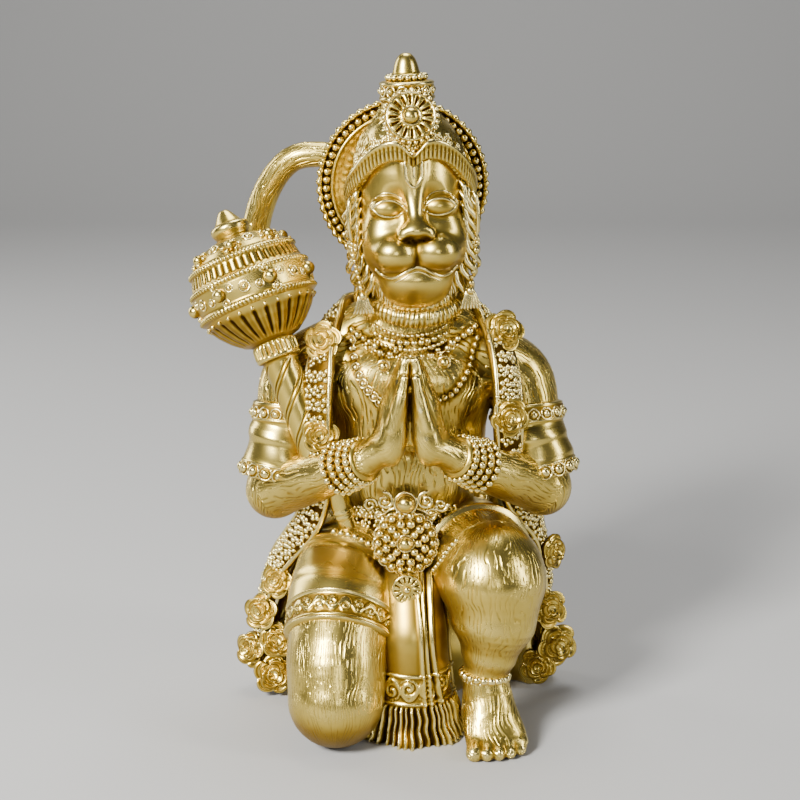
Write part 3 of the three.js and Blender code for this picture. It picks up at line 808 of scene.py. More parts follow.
def make_torso(batch):
    s = chest()
    s.cut(tube([[0, -17.4, 110, 0.9], [0, -17.8, 98, 1.0], [0, -17.2, 86, 0.8]]), k=2.5)
    for arm in ARMS:
        s.add(tube(upper_arm(arm)), k=4)
        s.add(tube(fore_arm(arm), across=(0, 0, 1)), k=1.5)
    co, quads = s.skin(0.94)
    X, Y, Z = co.T
    bones = [(TRUNK, (1, 0, 0), 0.6), (NECK, (1, 0, 0), 0.3)]
    for arm in ARMS:
        bones += [(upper_arm(arm), (1, 0, 0), 1.5), (fore_arm(arm), (0, 0, 1), 0.45)]
    # Painted shade on the chest beside the bead strands and festoons that lie on it.
    shade = np.zeros(len(co))
    front = np.flatnonzero((Y < -3) & (Z > 95) & (Z < 122) & (np.abs(X) < 23))
    lines = STRANDS + [line for spec in FESTOONS for line in festoon(*spec)]
    for line in lines:
        path = curve_through(line, 8)
        gap = np.sqrt(((co[front][:, None, ::2] - path[None]) ** 2).sum(2)).min(1)
        shade[front] = np.maximum(shade[front], 0.8 * (1 - ramp(gap, 1.0, 2.2)))
    batch.add(co, quads, fur=combed(co, bones), recess=shade)


def make_hands(batch):
    s = Sculpt()
    bones, meet = [], 0.4  # the palms meet at this x
    for arm in ARMS:
        side, wrist = arm["side"], arm["wrist"]
        across = (side * 0.42, 0.9, 0)
        palm = [[*wrist, 5.0, 4.8], [meet + side * 6.5, -30, 92.0, 6.6, 4.7],
                [meet + side * 4.9, -30, 101.5, 6.2, 3.8],
                [meet + side * 3.0, -30, 110, 4.4, 2.5], [meet + side * 1.5, -30.2, 116.4, 2.2, 1.5]]
        s.add(tube(palm, across=across), k=0.5)
        s.add(ball((meet + side * 5.2, -33.4, 92.5), (3.5, 3.4, 7.0)), k=2)  # the heel of the hand
        for reach, y, top in ((5.2, -34.6, 111.6), (4.6, -32.4, 115.4), (4.2, -29.8, 117.0)):
            finger = [[meet + side * reach, y, 97, 2.0 * 1.1],
                      [meet + side * (reach * 0.62 + 0.1), y + 0.2, top - 8, 2.0],
                      [meet + side * 1.75, y + 1.2, top, 2.0 * 0.66]]
            s.add(tube(finger, across=across), k=0.35)
        thumb = [[meet + side * 7.6, -24.6, 91, 2.9], [meet + side * 5.4, -23.6, 98, 2.6],
                 [meet + side * 2.6, -23.4, 106, 2.0]]
        s.add(tube(thumb), k=0.8)
        bones.append((palm, across, 0.14))
    s.add(tube([[meet, -10, 97, 7, 4], [meet, -22, 99, 5.5, 3.4]], across=(0, 0, 1)), k=1)
    s.add(tube([[meet, -26, 92, 2.6, 3], [meet, -27, 98, 1.6, 3], [meet, -28.5, 106, 0.9, 3.0]]), k=0.4)
    co, quads = s.skin(0.5)
    X, Y, Z = co.T
    # Painted shade down the slit between the palms and in the lines between the fingers.
    slit_shade = 0.8 * bump(X, meet, 0.7) * window(Z, 88, 92, 113, 117) * (Y < -30)
    for reach, top, y in ((4.9, 112, -33.4), (4.4, 116, -31.0)):
        share = np.clip((Z - 97) / (top - 97), 0, 1)
        x, deep = reach + (1.75 - reach) * share, y + 1.2 * share
        line = bump(np.hypot(np.abs(X - meet) - x, Y - deep), 1.7, 0.9)
        across_hand = bump(Y, deep, 0.45) * (np.abs(X - meet) > x)
        slit_shade = np.maximum(slit_shade, 0.55 * across_hand * line * ramp(Z, 98, 101) * ramp(-Z, -top, 2 - top))
    batch.add(co, quads, fur=combed(co, bones), recess=slit_shade)


def make_legs(batch):
    s = Sculpt()
    s.floor = True
    s.add(tube(KNEEL_THIGH))
    s.add(tube(KNEEL_SHIN, across=(0, 0, 1)), k=1.2)
    s.add(tube(KNEEL_FOOT), k=2.5)
    s.add(tube(RAISED_THIGH))
    s.add(tube(RAISED_SHIN), k=1.5)
    s.add(tube(RAISED_FOOT), k=3)
    instep = [[23.3, -32.4, 19, 6.7, 6.4], [24.2, -35.4, 12, 7.6, 6.2], [25.8, -41.5, 5, 8.4, 3.8]]
    s.add(tube(instep), k=2)
    toes = ((19.4, -48.2, 2.5), (23.0, -49.0, 2.0), (26.5, -48.8, 1.9), (29.9, -47.6, 1.8),
            (33.0, -45.6, 1.7))
    for i, (x, y, r) in enumerate(toes):  # a toe of the raised foot, and one of the foot behind
        s.add(tube([[x * 0.8 + 5.2, y + 8, 5.0, r], [x, y, 2.2, r * 1.04]]), k=0.9)
        s.add(tube([[-30 + 2.9 * i, 41, 4.4, r * 0.9], [-30.4 + 3.0 * i, 44, 2, r * 0.9]]), k=0.7)
    co, quads = s.skin(0.92)
    X, Y, Z = co.T
    bones = [(KNEEL_THIGH, (1, 0, 0), 0.28), (KNEEL_SHIN, (0, 0, 1), 0.35), (KNEEL_FOOT, (1, 0, 0), 0.35)]
    bones += [(RAISED_THIGH[:2], (1, 0, 0), 0.3), (RAISED_SHIN, (1, 0, 0), 0.3),
              (RAISED_FOOT, (1, 0, 0), 0.28)]
    # Painted shade between the toes of the raised foot.
    gaps = np.zeros(len(co))
    for (x, _, _), (x2, _, _) in zip(toes, toes[1:]):
        between_toes = bump(X, (x + x2) / 2, 0.45)
        gaps = np.maximum(gaps, between_toes * ramp(-Y, 40.5, 43.5) * ramp(-Z, -6, -4.5))
    # Painted shade: the kneeling leg darker towards the floor.
    low = 0.3 * ramp(-Z, -16, -5) * (X < 0)
    batch.add(co, quads, fur=combed(co, bones), recess=np.maximum(0.55 * gaps, low))


def make_drapery(batch):
    s = Sculpt()
    s.floor = True

    def folds(angle, t, P):
        return 0.7 * np.cos(5 * angle + 2 * np.sin(4 * t)) * ramp(t, 0, 0.3)

    for side in (-1, 1):
        s.add(tube([[side * 24, 12, 60, 8, 10], [side * 33, 13, 36, 8, 10], [side * 39, 13.5, 6, 9, 9.5]],
                   relief=folds), k=1)
    s.add(tube([[0, 13, 122, 15, 6], [0, 16, 84, 21, 6], [0, 22, 44, 20, 7]], relief=folds), k=1)
    s.add(ball((1, 12, 18), (30, 22, 26)), k=2)
    co, quads = s.skin(1.4)
    batch.add(co, quads)


# The head, the crown and the hair.

LIP = [(0, -8.7), (1.8, -9.1), (4.4, -10.6), (6.4, -11.6), (8.4, -11.8), (10.4, -11.0), (11.7, -9.6)]


def make_face(batch):
    """The head in its own frame, turned and put in place at the end."""
    s = Sculpt()
    s.add(tube([[0, -8.8, -15, 10.5, 8], [0, -6, -8, 13.8, 11.6], [0, -1.5, 3, 15.8, 15.2],
                [0, 1, 16, 16, 16.3], [0, 1.4, 21, 15.8, 16.1]], steps=8))
    for side in (-1, 1):
        s.add(ball((side * 8.6, -9.6, -2.5), (6.6, 6.4, 9.0)), k=4)  # cheek
        s.cut(ball((side * 7.2, -20.2, 10.4), (6.7, 7.5, 6.9)), k=1.5)  # eye socket
        s.cut(ball((side * 3.6, -19.8, 7.6), (2.4, 4.2, 4.2)), k=2.0)  # its inner corner
        s.add(ball((side * 7.4, -11.5, 8.2), (5.6, 4.2, 3.9)), k=0.6)  # eyeball
        s.add(ball((side * 6.1, -14.2, -4.6), (7.0, 6.8, 5.8)), k=1.9)  # side of the muzzle
    s.add(tube([[0, -14.2, 21, 3.2, 1.2], [0, -15.0, 13, 2.4, 1.7], [0, -17.0, 6.5, 2.3, 2.1],
                [0.1, -18.8, 3.4, 3.2, 2.3]]), k=2.5)
    s.add(ball((0.1, -18.6, 2.4), (5.4, 3.4, 2.1)), k=1.6)  # tip of the nose
    for side in (-1, 1):
        s.add(ball((side * 3.3, -18.6, 1.3), (2.4, 2.8, 1.8)), k=0.8)
        s.cut(ball((side * 2.6, -21.8, -0.4), (1.6, 2.6, 1.3)), k=0.5)
    s.cut(tube([[0, -21.6, -1.0, 1.1], [0, -21.2, -4, 0.9], [0, -20.2, -7.8, 0.9]]), k=1.2)
    s.add(ball((0, -8.8, -13.0), (10.9, 9.6, 6.6)), k=1.6)  # chin
    s.add(tube([[0.4, 3, -28, 10.6], [0, 2, -10, 11]]), k=2)  # neck
    co, quads = s.skin(0.58)
    X, Y, Z = co.T
    # Painted shade in the nostrils, down the groove under the nose, under the mouth and along the lids, and a
    # little over the eyeball within the lids.
    nostril = np.exp(-((np.abs(X) - 2.6) ** 2 + (Z + 0.2) ** 2) / 2.2) * (Y < -17.6)
    groove = bump(X, 0, 0.9) * window(Z, -8.6, -7.6, -1.4, -0.6) * (Y < -15)
    mouth = np.interp(np.abs(X), *zip(*LIP))
    under = bump(Z, mouth, 0.8) * (np.abs(X) < 11.6) * (Y < -8)
    # The eye's middle, its half width and the power of its curve.
    eye_x, eye_z, half_eye, lens = 7.3, 8.2, 4.9, 2.3
    x, z = np.abs(X) - eye_x, Z - eye_z
    reach = np.abs(z) / (2.5 * np.clip(1 - (np.abs(x) / half_eye) ** lens, 0.02, 1))
    lids = (np.abs(x) < half_eye) * bump(reach, 1, 0.25) * (Y < -10)
    eye = 0.22 * (np.abs(x) < half_eye) * ramp(-reach, -1.0, -0.8) * (Y < -10)
    shade = 1.4 * nostril + 0.7 * groove + 0.6 * under + 0.5 * lids + eye
    batch.add(co, quads, recess=np.clip(shade, 0, 1))

    def drawn(points, thick, deep=0.5, along=50):
        """A raised line on the face through points given as x and z."""
        line = curve_through(points, 6)
        y = drop_on(s, line[:, 0], line[:, 1]) + deep * thick
        y[1:-1] = (y[:-2] + 2 * y[1:-1] + y[2:]) / 4
        swept(batch, [[x, d, z, thick] for (x, z), d in zip(line, y)], around=8, along=along, steps=2)

    for side in (-1, 1):
        # The upper lid, the lower lid and the fold over them, which starts further out.
        for up, tall, wide, thick, deep, start in ((1, 2.6, half_eye, 0.55, 0.3, 0),
                                                   (-1, 2.1, half_eye, 0.45, 0.3, 0),
                                                   (1, 4.6, 5.8, 0.42, 0.6, 1)):
            lid = [(side * (eye_x + wide * u), eye_z + up * tall * (1 - abs(u) ** lens) + 0.25 * u)
                   for u in np.linspace(-1, 1, 11)]
            drawn(lid[start:], thick, deep=deep)
    for shift, thick, keep in ((0, 0.62, 0), (-1.3, 0.38, 3)):  # the mouth and a shorter line under it
        half = [(x, z + shift) for x, z in LIP]
        line = [(-x, z) for x, z in half[:0:-1]] + half
        drawn(line[keep:len(line) - keep], thick, along=100)
    # The mark on the forehead: a long loop with a line in it.
    half, low = 2.3, 14.6
    mark = [(half, 25), (half, 20.5), (half * 0.9, low + 2.2)]
    drawn([(-x, z) for x, z in mark] + [(0, low)] + mark[::-1], 0.6, deep=0.1)
    drawn([(0, 25), (0, 21), (0, 17.4)], 0.5, deep=0.2, along=16)
    batch.on_head()


def brim_height(a):
    """The height of the brim's middle, a radians round from the front."""
    a = np.minimum(np.abs(a), TAU - np.abs(a))
    dips = 2.6 * bump(a, 0, 0.15) + 4.0 * bump(a, 1.8, 0.35)
    return 8.2 + 16.5 * np.cos(a / 2) ** 4 + 1.8 * np.sin(np.minimum(3 * a, math.pi)) - dips


def make_crown(batch):
    dome = [[16.8, 4], [16.9, 8], [16.9, 14], [16.8, 18], [16.3, 21], [15.2, 25.2], [13.4, 28.6],
            [11.0, 31.6], [9.2, 34.0], [8.0, 36.2]]
    tier = [[7.9, 36.0], [7.7, 38.0], [8.3, 38.6], [8.3, 39.1], [7.7, 39.7], [7.6, 42.2], [8.0, 42.8],
            [8.2, 43.2], [7.6, 43.7], [5.4, 44.0], [4.9, 44.4], [4.8, 45.6], [4.2, 45.9], [3.9, 46.6],
            [3.3, 48.8], [2.5, 50.5], [1.3, 51.6], [0.05, 51.8]]

    def net(A, H):
        """How far into a cell of the lattice, 0 on its lines."""
        up, turn = (H - 18) / 4.4, A * 22 / TAU
        return np.minimum(np.abs(((turn + up) % 1) - 0.5), np.abs(((turn - up) % 1) - 0.5))

    def lattice(A, R, H):
        raised = 0.5 * (1 - ramp(net(A, H), 0.05, 0.13)) + 0.45 * ramp(net(A, H), 0.3, 0.42)
        return raised - 2.6 * (1 - ramp(H - brim_height(A), -3.0, -1.8))

    # Painted shade in the hollows of the lattice's cells and in the sunk band of the upper tier.
    revolved(batch, profile_through(dome, 0.55), (0, 1, 0), (0, 0, 1), around=242, relief=lattice,
             recess=lambda A, R, H: 0.7 * window(net(A, H), 0.1, 0.16, 0.22, 0.3))
    revolved(batch, profile_through(tier, 0.44), (0, 1, 0), (0, 0, 1), around=72,
             recess=lambda A, R, H: 0.85 * window(H, 39.2, 39.8, 41.8, 42.4))
    # The pleated brim rises over each eye, dips between them and falls to the ears and the nape.
    n, section = 540, np.linspace(0, TAU, 19)[:-1]
    A, S = np.meshgrid(turns(n), section, indexing="ij")
    fold = np.minimum(A, TAU - A)
    tall = 1.8 + 1.2 * ramp(fold, 0.04, 0.32) - 0.7 * ramp(fold, 0.9, 1.5) + 1.3 * bump(fold, 1.75, 0.22)
    front, upper = np.cos(S), np.sin(S)
    pleat = 0.2 * np.cos(A * 90) * ramp(front, 0.1, 0.5) * window(upper, -0.9, -0.7, 0.1, 0.35)
    roll = 1.3 * bump(S, 0.95, 0.36) + 0.5 * bump(S, TAU - 1.15, 0.2)
    r = (18.3 - 1.4 * np.abs(np.cos(fold / 2)) ** 3 + 1.3 * np.cos(S) + pleat + roll
         + 0.5 * ramp(fold, 0.03, 0.25))
    h = brim_height(A) + tall * upper
    co = np.stack([r * np.sin(A), 1 - r * np.cos(A), h], -1).reshape(-1, 3)
    # Painted shade in the troughs of the pleats and at the dip in the front.
    shade = 0.5 * ramp(-np.cos(A * 90), 0.2, 0.9) * (pleat < 0) + 0.5 * bump(fold, 0, 0.05)
    batch.add(co, closed_grid(n, len(section)), recess=shade)
    # Florets and beads stand on the dome along the brim.
    reach = np.array(dome)
    for k in range(-20, 21):  # of 58 round the head
        angle = k * TAU / 58
        d = np.array([math.sin(angle), -math.cos(angle), 0.3])
        for row, lift in enumerate((0.0, 2.0, 3.9)):
            z = float(brim_height(angle)) + 3.5 + lift
            if z > 34.5 or (row == 2 and k % 2):
                continue
            spot = np.array([0, 1, z]) + d * (1, 1, 0) * (np.interp(z, reach[:, 1], reach[:, 0]) + 0.3)
            if row == 1:
                beads(batch, [spot], 0.62)
            else:
                flower(batch, spot, d, 1.6 if row == 0 else 1.3, k)
    for angle in turns(13, 0.5):
        d = np.array([math.sin(angle), -math.cos(angle), 0])
        beads(batch, [np.array([0, 1, 41.0]) + d * 7.8], 0.95)
        ring(batch, np.array([0, 1, 41.0]) + d * 7.7, d, 1.5, 0.32)
    for angle in turns(17):
        beads(batch, [(5.5 * math.sin(angle), 1 - 5.5 * math.cos(angle), 44.9)], 0.98)
    # The rosette at the front, with painted shade in its cut petals.

    def petals(A, R):
        return ramp(np.cos(16 * A), 0.1, 0.75) * window(R, 3.2, 3.9, 6.0, 6.7)

    face = [[0.05, 0.9], [2.6, 0.9], [3.0, 0.7], [4.5, 1.0], [6.4, 0.9], [7.2, 0.5], [7.5, -0.6], [7.3, -3]]
    here, facing = np.array([0, -12.6, 34.4]), unit((0, -0.93, 0.37))
    revolved(batch, profile_through(face, 0.3)[::-1], here, facing, around=160,
             relief=lambda A, R, H: -0.9 * petals(A, R), recess=lambda A, R, H: 0.95 * petals(A, R))
    beads(batch, [here + facing * 1.2], 2.3, axis=facing, squash=0.8, fine=True)
    ring(batch, here + facing * 1.0, facing, 2.7, 0.38, around=40)
    ring(batch, here + facing * 0.8, facing, 6.9, 0.3, around=60)
    R = turned_to(facing, (0, 0, 1))
    for angle in turns(26):
        beads(batch, [here + R @ (7.7 * math.cos(angle), 7.7 * math.sin(angle), 0.1)], 0.75)
    # The halo: a dished plate with radial dots, then a row of beads in a groove, and a notched rim; a little
    # painted shade over the plate and deep painted shade in the groove.
    plate = [[13, 0.2], [19, 0.6], [21.0, 0.9], [21.5, 1.4], [22.0, 0.9], [22.4, 0.1], [24.2, 0.1],
             [24.6, 1.2], [25.2, 1.9], [26.0, 1.5], [26.1, 0.4], [25.4, -0.9]]

    def rim(A, R, H):
        dots = (ramp(np.cos(A * 52), 0.2, 0.9) * ramp(np.cos((R - 15) * 2.4), 0, 0.8)
                * window(R, 13.4, 14, 19.8, 20.5))
        return 0.34 * dots * (H > -0.5) + 0.4 * np.cos(A * 57) * ramp(R, 24.5, 25.3)

    centre = np.array([-1.8, 9.6, 12.2])
    revolved(batch, profile_through(plate, 0.5, smooth=False)[::-1], centre, (0, -1, 0), around=312,
             relief=rim, recess=lambda A, R, H: 0.15 + 0.8 * window(R, 21.9, 22.4, 24.2, 24.8) * (H > -0.5))
    revolved(batch, [[25.4, -0.9], [23.0, -1.5], [12, -1.6], [0.3, -1.6]][::-1], centre, (0, -1, 0),
             around=96)
    for angle in turns(57, 0.5):
        beads(batch, [centre + (23.3 * math.cos(angle), -1.0, 23.3 * math.sin(angle))], 1.16, axis=(0, -1, 0))
    batch.on_head()


def lock(batch, points, width, depth=0.6, around=8, along=14, across=(1, 0, 0), strands=2):
    """A tapering lock of hair, grooved along its length."""
    n = len(points)
    sizes = [max(math.sin(math.pi * (0.18 + 0.78 * k / (n - 1))), 0.12) for k in range(n)]
    stations = [[*p, width * s, width * depth * s] for p, s in zip(points, sizes)]
    swept(batch, stations, around=around, along=along, across=across, rows=2, steps=4,
          relief=lambda A, T: 0.12 * width * np.cos(strands * 2 * A))


def make_hair(batch):
    rng = np.random.default_rng(7)

    def wave(A, T):
        return np.cos(26 * A + 1.6 * np.sin(5 * T + 3 * np.cos(A)))

    # The mass behind is grooved, with painted shade in its grooves; on the right waved locks sweep down from
    # the edge of the face over it.
    swept(batch, [[0, 4, 12, 16.6, 8], [0, 5, -8, 16.8, 9], [-0.5, 6, -29, 18.0, 10]], around=180, along=34,
          relief=lambda A, T: 0.45 * wave(A, T) + 0.2 * np.cos(13 * A + 4 * T), rows=5,
          recess=lambda A, T: 0.6 * (wave(A, T) < -0.2))
    for side in (-1, 1):
        for layer, (start, y) in enumerate(((14.6, -7.2), (16.0, -3.6), (16.8, 0.2))):
            for k in range(9 if side > 0 or layer > 0 else 0):
                z = 12.5 - 3.1 * k - 1.1 * layer
                inward = 3.9 * float(ramp(-z, 2.0, 15.0)) ** 1.2
                x, long = start - inward, 6.4 + 1.6 * rng.random() + 1.2 * float(ramp(-z, 2, 14))
                out, sway = (0.34 + 0.14 * rng.random()) * long, 0.7 * (rng.random() - 0.5)
                points = [[side * (x - 0.8), y, z + 2.4], [side * (x + 0.5), y - 0.8, z + 0.6],
                          [side * (x + 0.35 * out), y - 0.9 + sway, z - 0.34 * long],
                          [side * (x + 0.95 * out), y - 0.3 + sway, z - 0.68 * long],
                          [side * (x + 1.05 * out), y + 0.3 + sway, z - 0.92 * long],
                          [side * (x + 0.72 * out), y + 0.4 + sway, z - 1.06 * long]]
                lock(batch, points, 1.75, across=(0, 1, 0), depth=0.7, along=16, strands=1)
        # The ear, its long loop and the drop of beads.
        ear = np.array([side * 18.0, -6.5, 4.5])
        loop = [ear + (side * 1.1 * math.sin(t), -1.6 * math.sin(t), 6.6 * math.cos(t))
                for t in np.linspace(0, TAU, 13)]
        swept(batch, [[*p, 0.66] for p in loop], around=8, along=44, steps=3)
        floret(batch, ear + (side * 0.4, -1.6, -8.0), (side * 0.5, -0.8, 0), 1.7)
        for k in range(8):
            beads(batch, [ear + (side * (0.2 - 0.3 * k), -1.8 - 0.15 * k, -10.4 - 1.6 * k)],
                  0.72 if k % 3 else 1.05)
        for k in range(7):
            spread = (k - 3) * 1.0
            top = ear + (spread * 0.4 - side * 2.0, -3.4, -22.6)
            foot = ear + (spread * 0.95 - side * 2.0, -3.8, -27.4)
            swept(batch, [[*top, 0.36], [*foot, 0.42]], around=6, along=4, rows=2)
        beads(batch, [ear + (-side * 2.0, -3.6, -22.2)], 1.3, axis=(0, -1, 0.2))
    # The beard under the chin in fine strands, and a combed roll of fur round the neck.
    for layer in (0, 1):
        for k in range(44):
            a = math.radians(-112 + 224 * (k + 0.5 * layer) / 43)
            out = np.array([math.sin(a), -0.86 * math.cos(a), 0])
            drop = 10.4 * math.cos(a * 0.62) + 1.1 * layer
            root = np.array([0.3, -0.8, -4.8 - drop]) + out * (11.2 - 0.5 * layer)
            long = 5.2 + 1.8 * rng.random()
            tip = root + out * (1.8 + 0.8 * rng.random()) + (1.6 * rng.random() - 0.8, 0, -long)
            points = [root - out * 0.8 + (0, 0, 1.6), root + out * 0.9, (root + tip) / 2 + out * 1.2, tip]
            lock(batch, points, 1.0, across=(-out[1], out[0], 0), depth=0.7, along=7, around=6, strands=1)
    for z, reach, thick, count in ((-22.4, 12.4, 2.9, 210), (-19.0, 10.6, 2.6, 180)):
        path = []
        for a in np.radians(np.linspace(-104, 104, 15)):
            path.append([0.5 + reach * math.sin(a), -0.6 - reach * math.cos(a), z - 2.6 * math.cos(a) ** 2,
                         thick, thick * 0.85])

        def combing(A, T):
            return 0.13 * np.cos(count * T + 2.2 * np.sin(A + 9 * T)) + 0.08 * np.cos(57 * T + 3 * A)

        # Painted shade in the deeper grooves of the combed roll.
        swept(batch, path, around=14, along=300, across=(0, 0, 1), steps=4, relief=combing,
              recess=lambda A, T: 0.4 * (combing(A, T) < -0.09))
    batch.on_head()


# The mace and the tail.

MACE_AT = np.array([-47, -3.5, 133.0])
MACE_AXIS = unit((-0.36, 0.27, 0.893))


def make_mace(batch):
    dome = [[0.3, 24.7], [1.4, 24.5], [2.2, 23.6], [3.6, 21.4], [4.4, 20.3], [5.6, 19.8], [6.0, 18.9],
            [5.9, 17.9], [5.2, 16.7], [4.9, 15.7], [6.6, 15.4], [10.6, 13.9], [13.6, 11.6], [15.4, 9.7]]
    bands = [[15.2, 9.9], [15.9, 9.5], [16.7, 9.0], [17.0, 8.2], [16.5, 7.5], [16.6, 7.1], [17.5, 3.8],
             [17.9, 3.3], [18.6, 2.9], [18.8, 2.2], [18.35, 1.5], [18.4, 1.2], [18.3, -1.6], [18.0, -4.7],
             [18.4, -5.2], [18.6, -5.9], [18.0, -6.6], [17.2, -7.2]]
    bowl = [[17.4, -7.0], [16.6, -8.8], [15.0, -11.2], [12.2, -14.2], [8.8, -16.9], [6.3, -17.8],
            [6.5, -18.3], [6.6, -22.0], [6.9, -22.4], [6.7, -23.1], [5.5, -23.4], [5.2, -24.5]]

    def flutes(A, R, H):
        groove = -0.42 * bump((A * 46 / TAU) % 1, 0.5, 0.17)
        rope = sum(bump(H, c, 0.5) for c in (8.3, 2.3, -5.9))
        return groove * window(H, 3.5, 4.1, 6.9, 7.4) + 0.26 * np.cos(A * 88) * rope

    def slots(A, R, H):
        cut = bump((A * 26 / TAU) % 1, 0.5, 0.15)
        return cut * window(H, -17.2, -15.0, -10.2, -8.6)

    def ribs(A, R, H):
        return -1.0 * slots(A, R, H) + 0.34 * np.cos(A * 26) * window(H, -22.2, -21.7, -18.8, -18.2)

    revolved(batch, profile_through(dome, 0.5, smooth=False)[::-1], MACE_AT, MACE_AXIS, around=104)
    # Painted shade in the flutes and in the hollows of the ropes.
    revolved(batch, profile_through(bands, 0.38, smooth=False)[::-1], MACE_AT, MACE_AXIS, around=352,
             relief=flutes, recess=lambda A, R, H: np.clip(-1.8 * flutes(A, R, H), 0, 0.8))
    # Painted shade over the lower bowl, and deeper in its slots.
    revolved(batch, profile_through(bowl, 0.55, smooth=False)[::-1], MACE_AT, MACE_AXIS, around=260,
             relief=ribs,
             recess=lambda A, R, H: 0.24 * window(H, -18, -15, -9.5, -7.5) + 0.76 * slots(A, R, H))
    turn = turned_to(MACE_AXIS)

    def spot(angle, h, r):
        return MACE_AT + turn @ (r * math.sin(angle), h, r * math.cos(angle))

    def outward(angle, lean=0.0):
        return unit(turn @ (math.sin(angle), lean, math.cos(angle)))

    for a in turns(7, 0.12):  # flower studs and ringed studs in turn, on the band and on the dome
        beads(batch, [spot(a, -1.4, 18.6)], 2.05, fine=True)
        for b in turns(4, 0.2):
            where = a + 3.9 / 18.4 * math.cos(b)
            here = spot(where, -1.4 + 3.2 * math.sin(b), 18.2)
            beads(batch, [here], 0.8)
            ring(batch, here, outward(where), 1.2, 0.3, around=12, section=5)
        c = a + TAU / 14
        ring(batch, spot(c, -1.6, 18.3), outward(c), 1.6, 0.36)
        beads(batch, [spot(c, -1.6, 18.2)], 1.0)
        beads(batch, [spot(c, 11.6, 14.2)], 1.7, fine=True)
        for b in turns(6):
            beads(batch, [spot(c + 2.6 / 14 * math.cos(b), 11.4 + 1.7 * math.sin(b),
                               14.1 - 1.9 * math.sin(b))], 0.75)
        e = a + TAU / 7
        ring(batch, spot(e, 12.6, 12.6), outward(e, 0.9), 1.5, 0.36)
        beads(batch, [spot(e, 12.6, 12.6)], 0.9)
    for angle in turns(26, 0.5):
        beads(batch, [spot(angle, -8.3, 16.9)], 0.66)

    # The handle, wrapped by a broad spiral band, goes down behind the forearm; its end shows by the belt.
    top, low = MACE_AT - MACE_AXIS * 23, np.array([-25.4, -15.3, 79.3])
    reach = np.linalg.norm(top - low)

    def wrap(A, T):
        phase = (-4 * A / TAU + T * reach / 8.3) % 1
        groove = bump(phase, 0.42, 0.045) + bump(phase, 0.58, 0.045)
        return 0.3 * bump(phase, 0.5, 0.06) - 0.4 * groove

    # Painted shade in the grooves of the spiral band.
    swept(batch, [[*top, 5.3], [*low, 5.3]], around=96, along=96, relief=wrap,
          recess=lambda A, T: np.clip(-1.6 * wrap(A, T), 0, 0.7))
    swept(batch, [[-23, -13, 75, 3.7], [-18, -12.6, 60, 3.1]], around=28, along=30, cap=0.8,
          relief=lambda A, T: 0.35 * bump(T, 0.62, 0.03) + 0.3 * bump(T, 0.72, 0.03))


def make_tail(batch):
    path = [[1, 24, 32, 1.5], [-20, 26, 52, 1.4], [-34, 20, 82, 1.3], [-42.5, 18.5, 114, 1.15],
            [-47.4, 20.5, 148, 1.02], [-36, 16.5, 169, 0.95], [-17, 14, 170.5, 0.9]]
    stations = [[x, y, z, 4.2 * s] for x, y, z, s in path]
    swept(batch, stations, around=40, along=150, across=(0, 1, 0), fur=0.6, steps=8)


# Jewellery, garlands and cloth.

def along_limb(stations, across, shares, lifts):
    """Stations for a sleeve that lies on a limb: the limb's own section with a lift at each share."""
    curve = Curve(stations, across, 8)
    centre, _, _, _, size = curve.at(np.asarray(shares))
    return [[*c, w + lift, d + lift] for c, (w, d), lift in zip(centre, size, lifts)]


def band_of_beads(batch, stations, across, share, lift, count, radius, ringed=0.0, turn=0.0, squash=1.0):
    """Beads in a row round a limb, each with a ring round it where "ringed" is its radius."""
    centre, side, deep, _, size = [v[0] for v in Curve(stations, across, 8).at(np.array([share]))]
    for a in turns(count, turn):
        out = unit(math.cos(a) * side + math.sin(a) * deep)
        p = centre + math.cos(a) * side * (size[0] + lift) + math.sin(a) * deep * (size[1] + lift)
        beads(batch, [p], radius, axis=out, squash=squash)
        if ringed:
            ring(batch, p - out * 0.2, out, ringed, 0.3)


def bead_strand(batch, body, points, radius, pitch, every=0, big=0.0, ringed=False, lift=0.45):
    """A row of beads laid on a body from the front, along a line through points given as x and z."""
    line = curve_through(points, 16)
    gaps = lengths_along(line)
    s = np.arange(0, gaps[-1], pitch)
    x, z = np.interp(s, gaps, line[:, 0]), np.interp(s, gaps, line[:, 1])
    y = drop_on(body, x, z)
    for i in range(len(s)):
        if y[i] > 3.9:
            continue
        r = big if every and i % every == every // 2 else radius
        beads(batch, [(x[i], y[i] - lift * r, z[i])], r)
        if ringed:
            ring(batch, (x[i], y[i] - 0.1, z[i]), (0.03 * x[i], -1, 0.15), r + 0.35, 0.26)


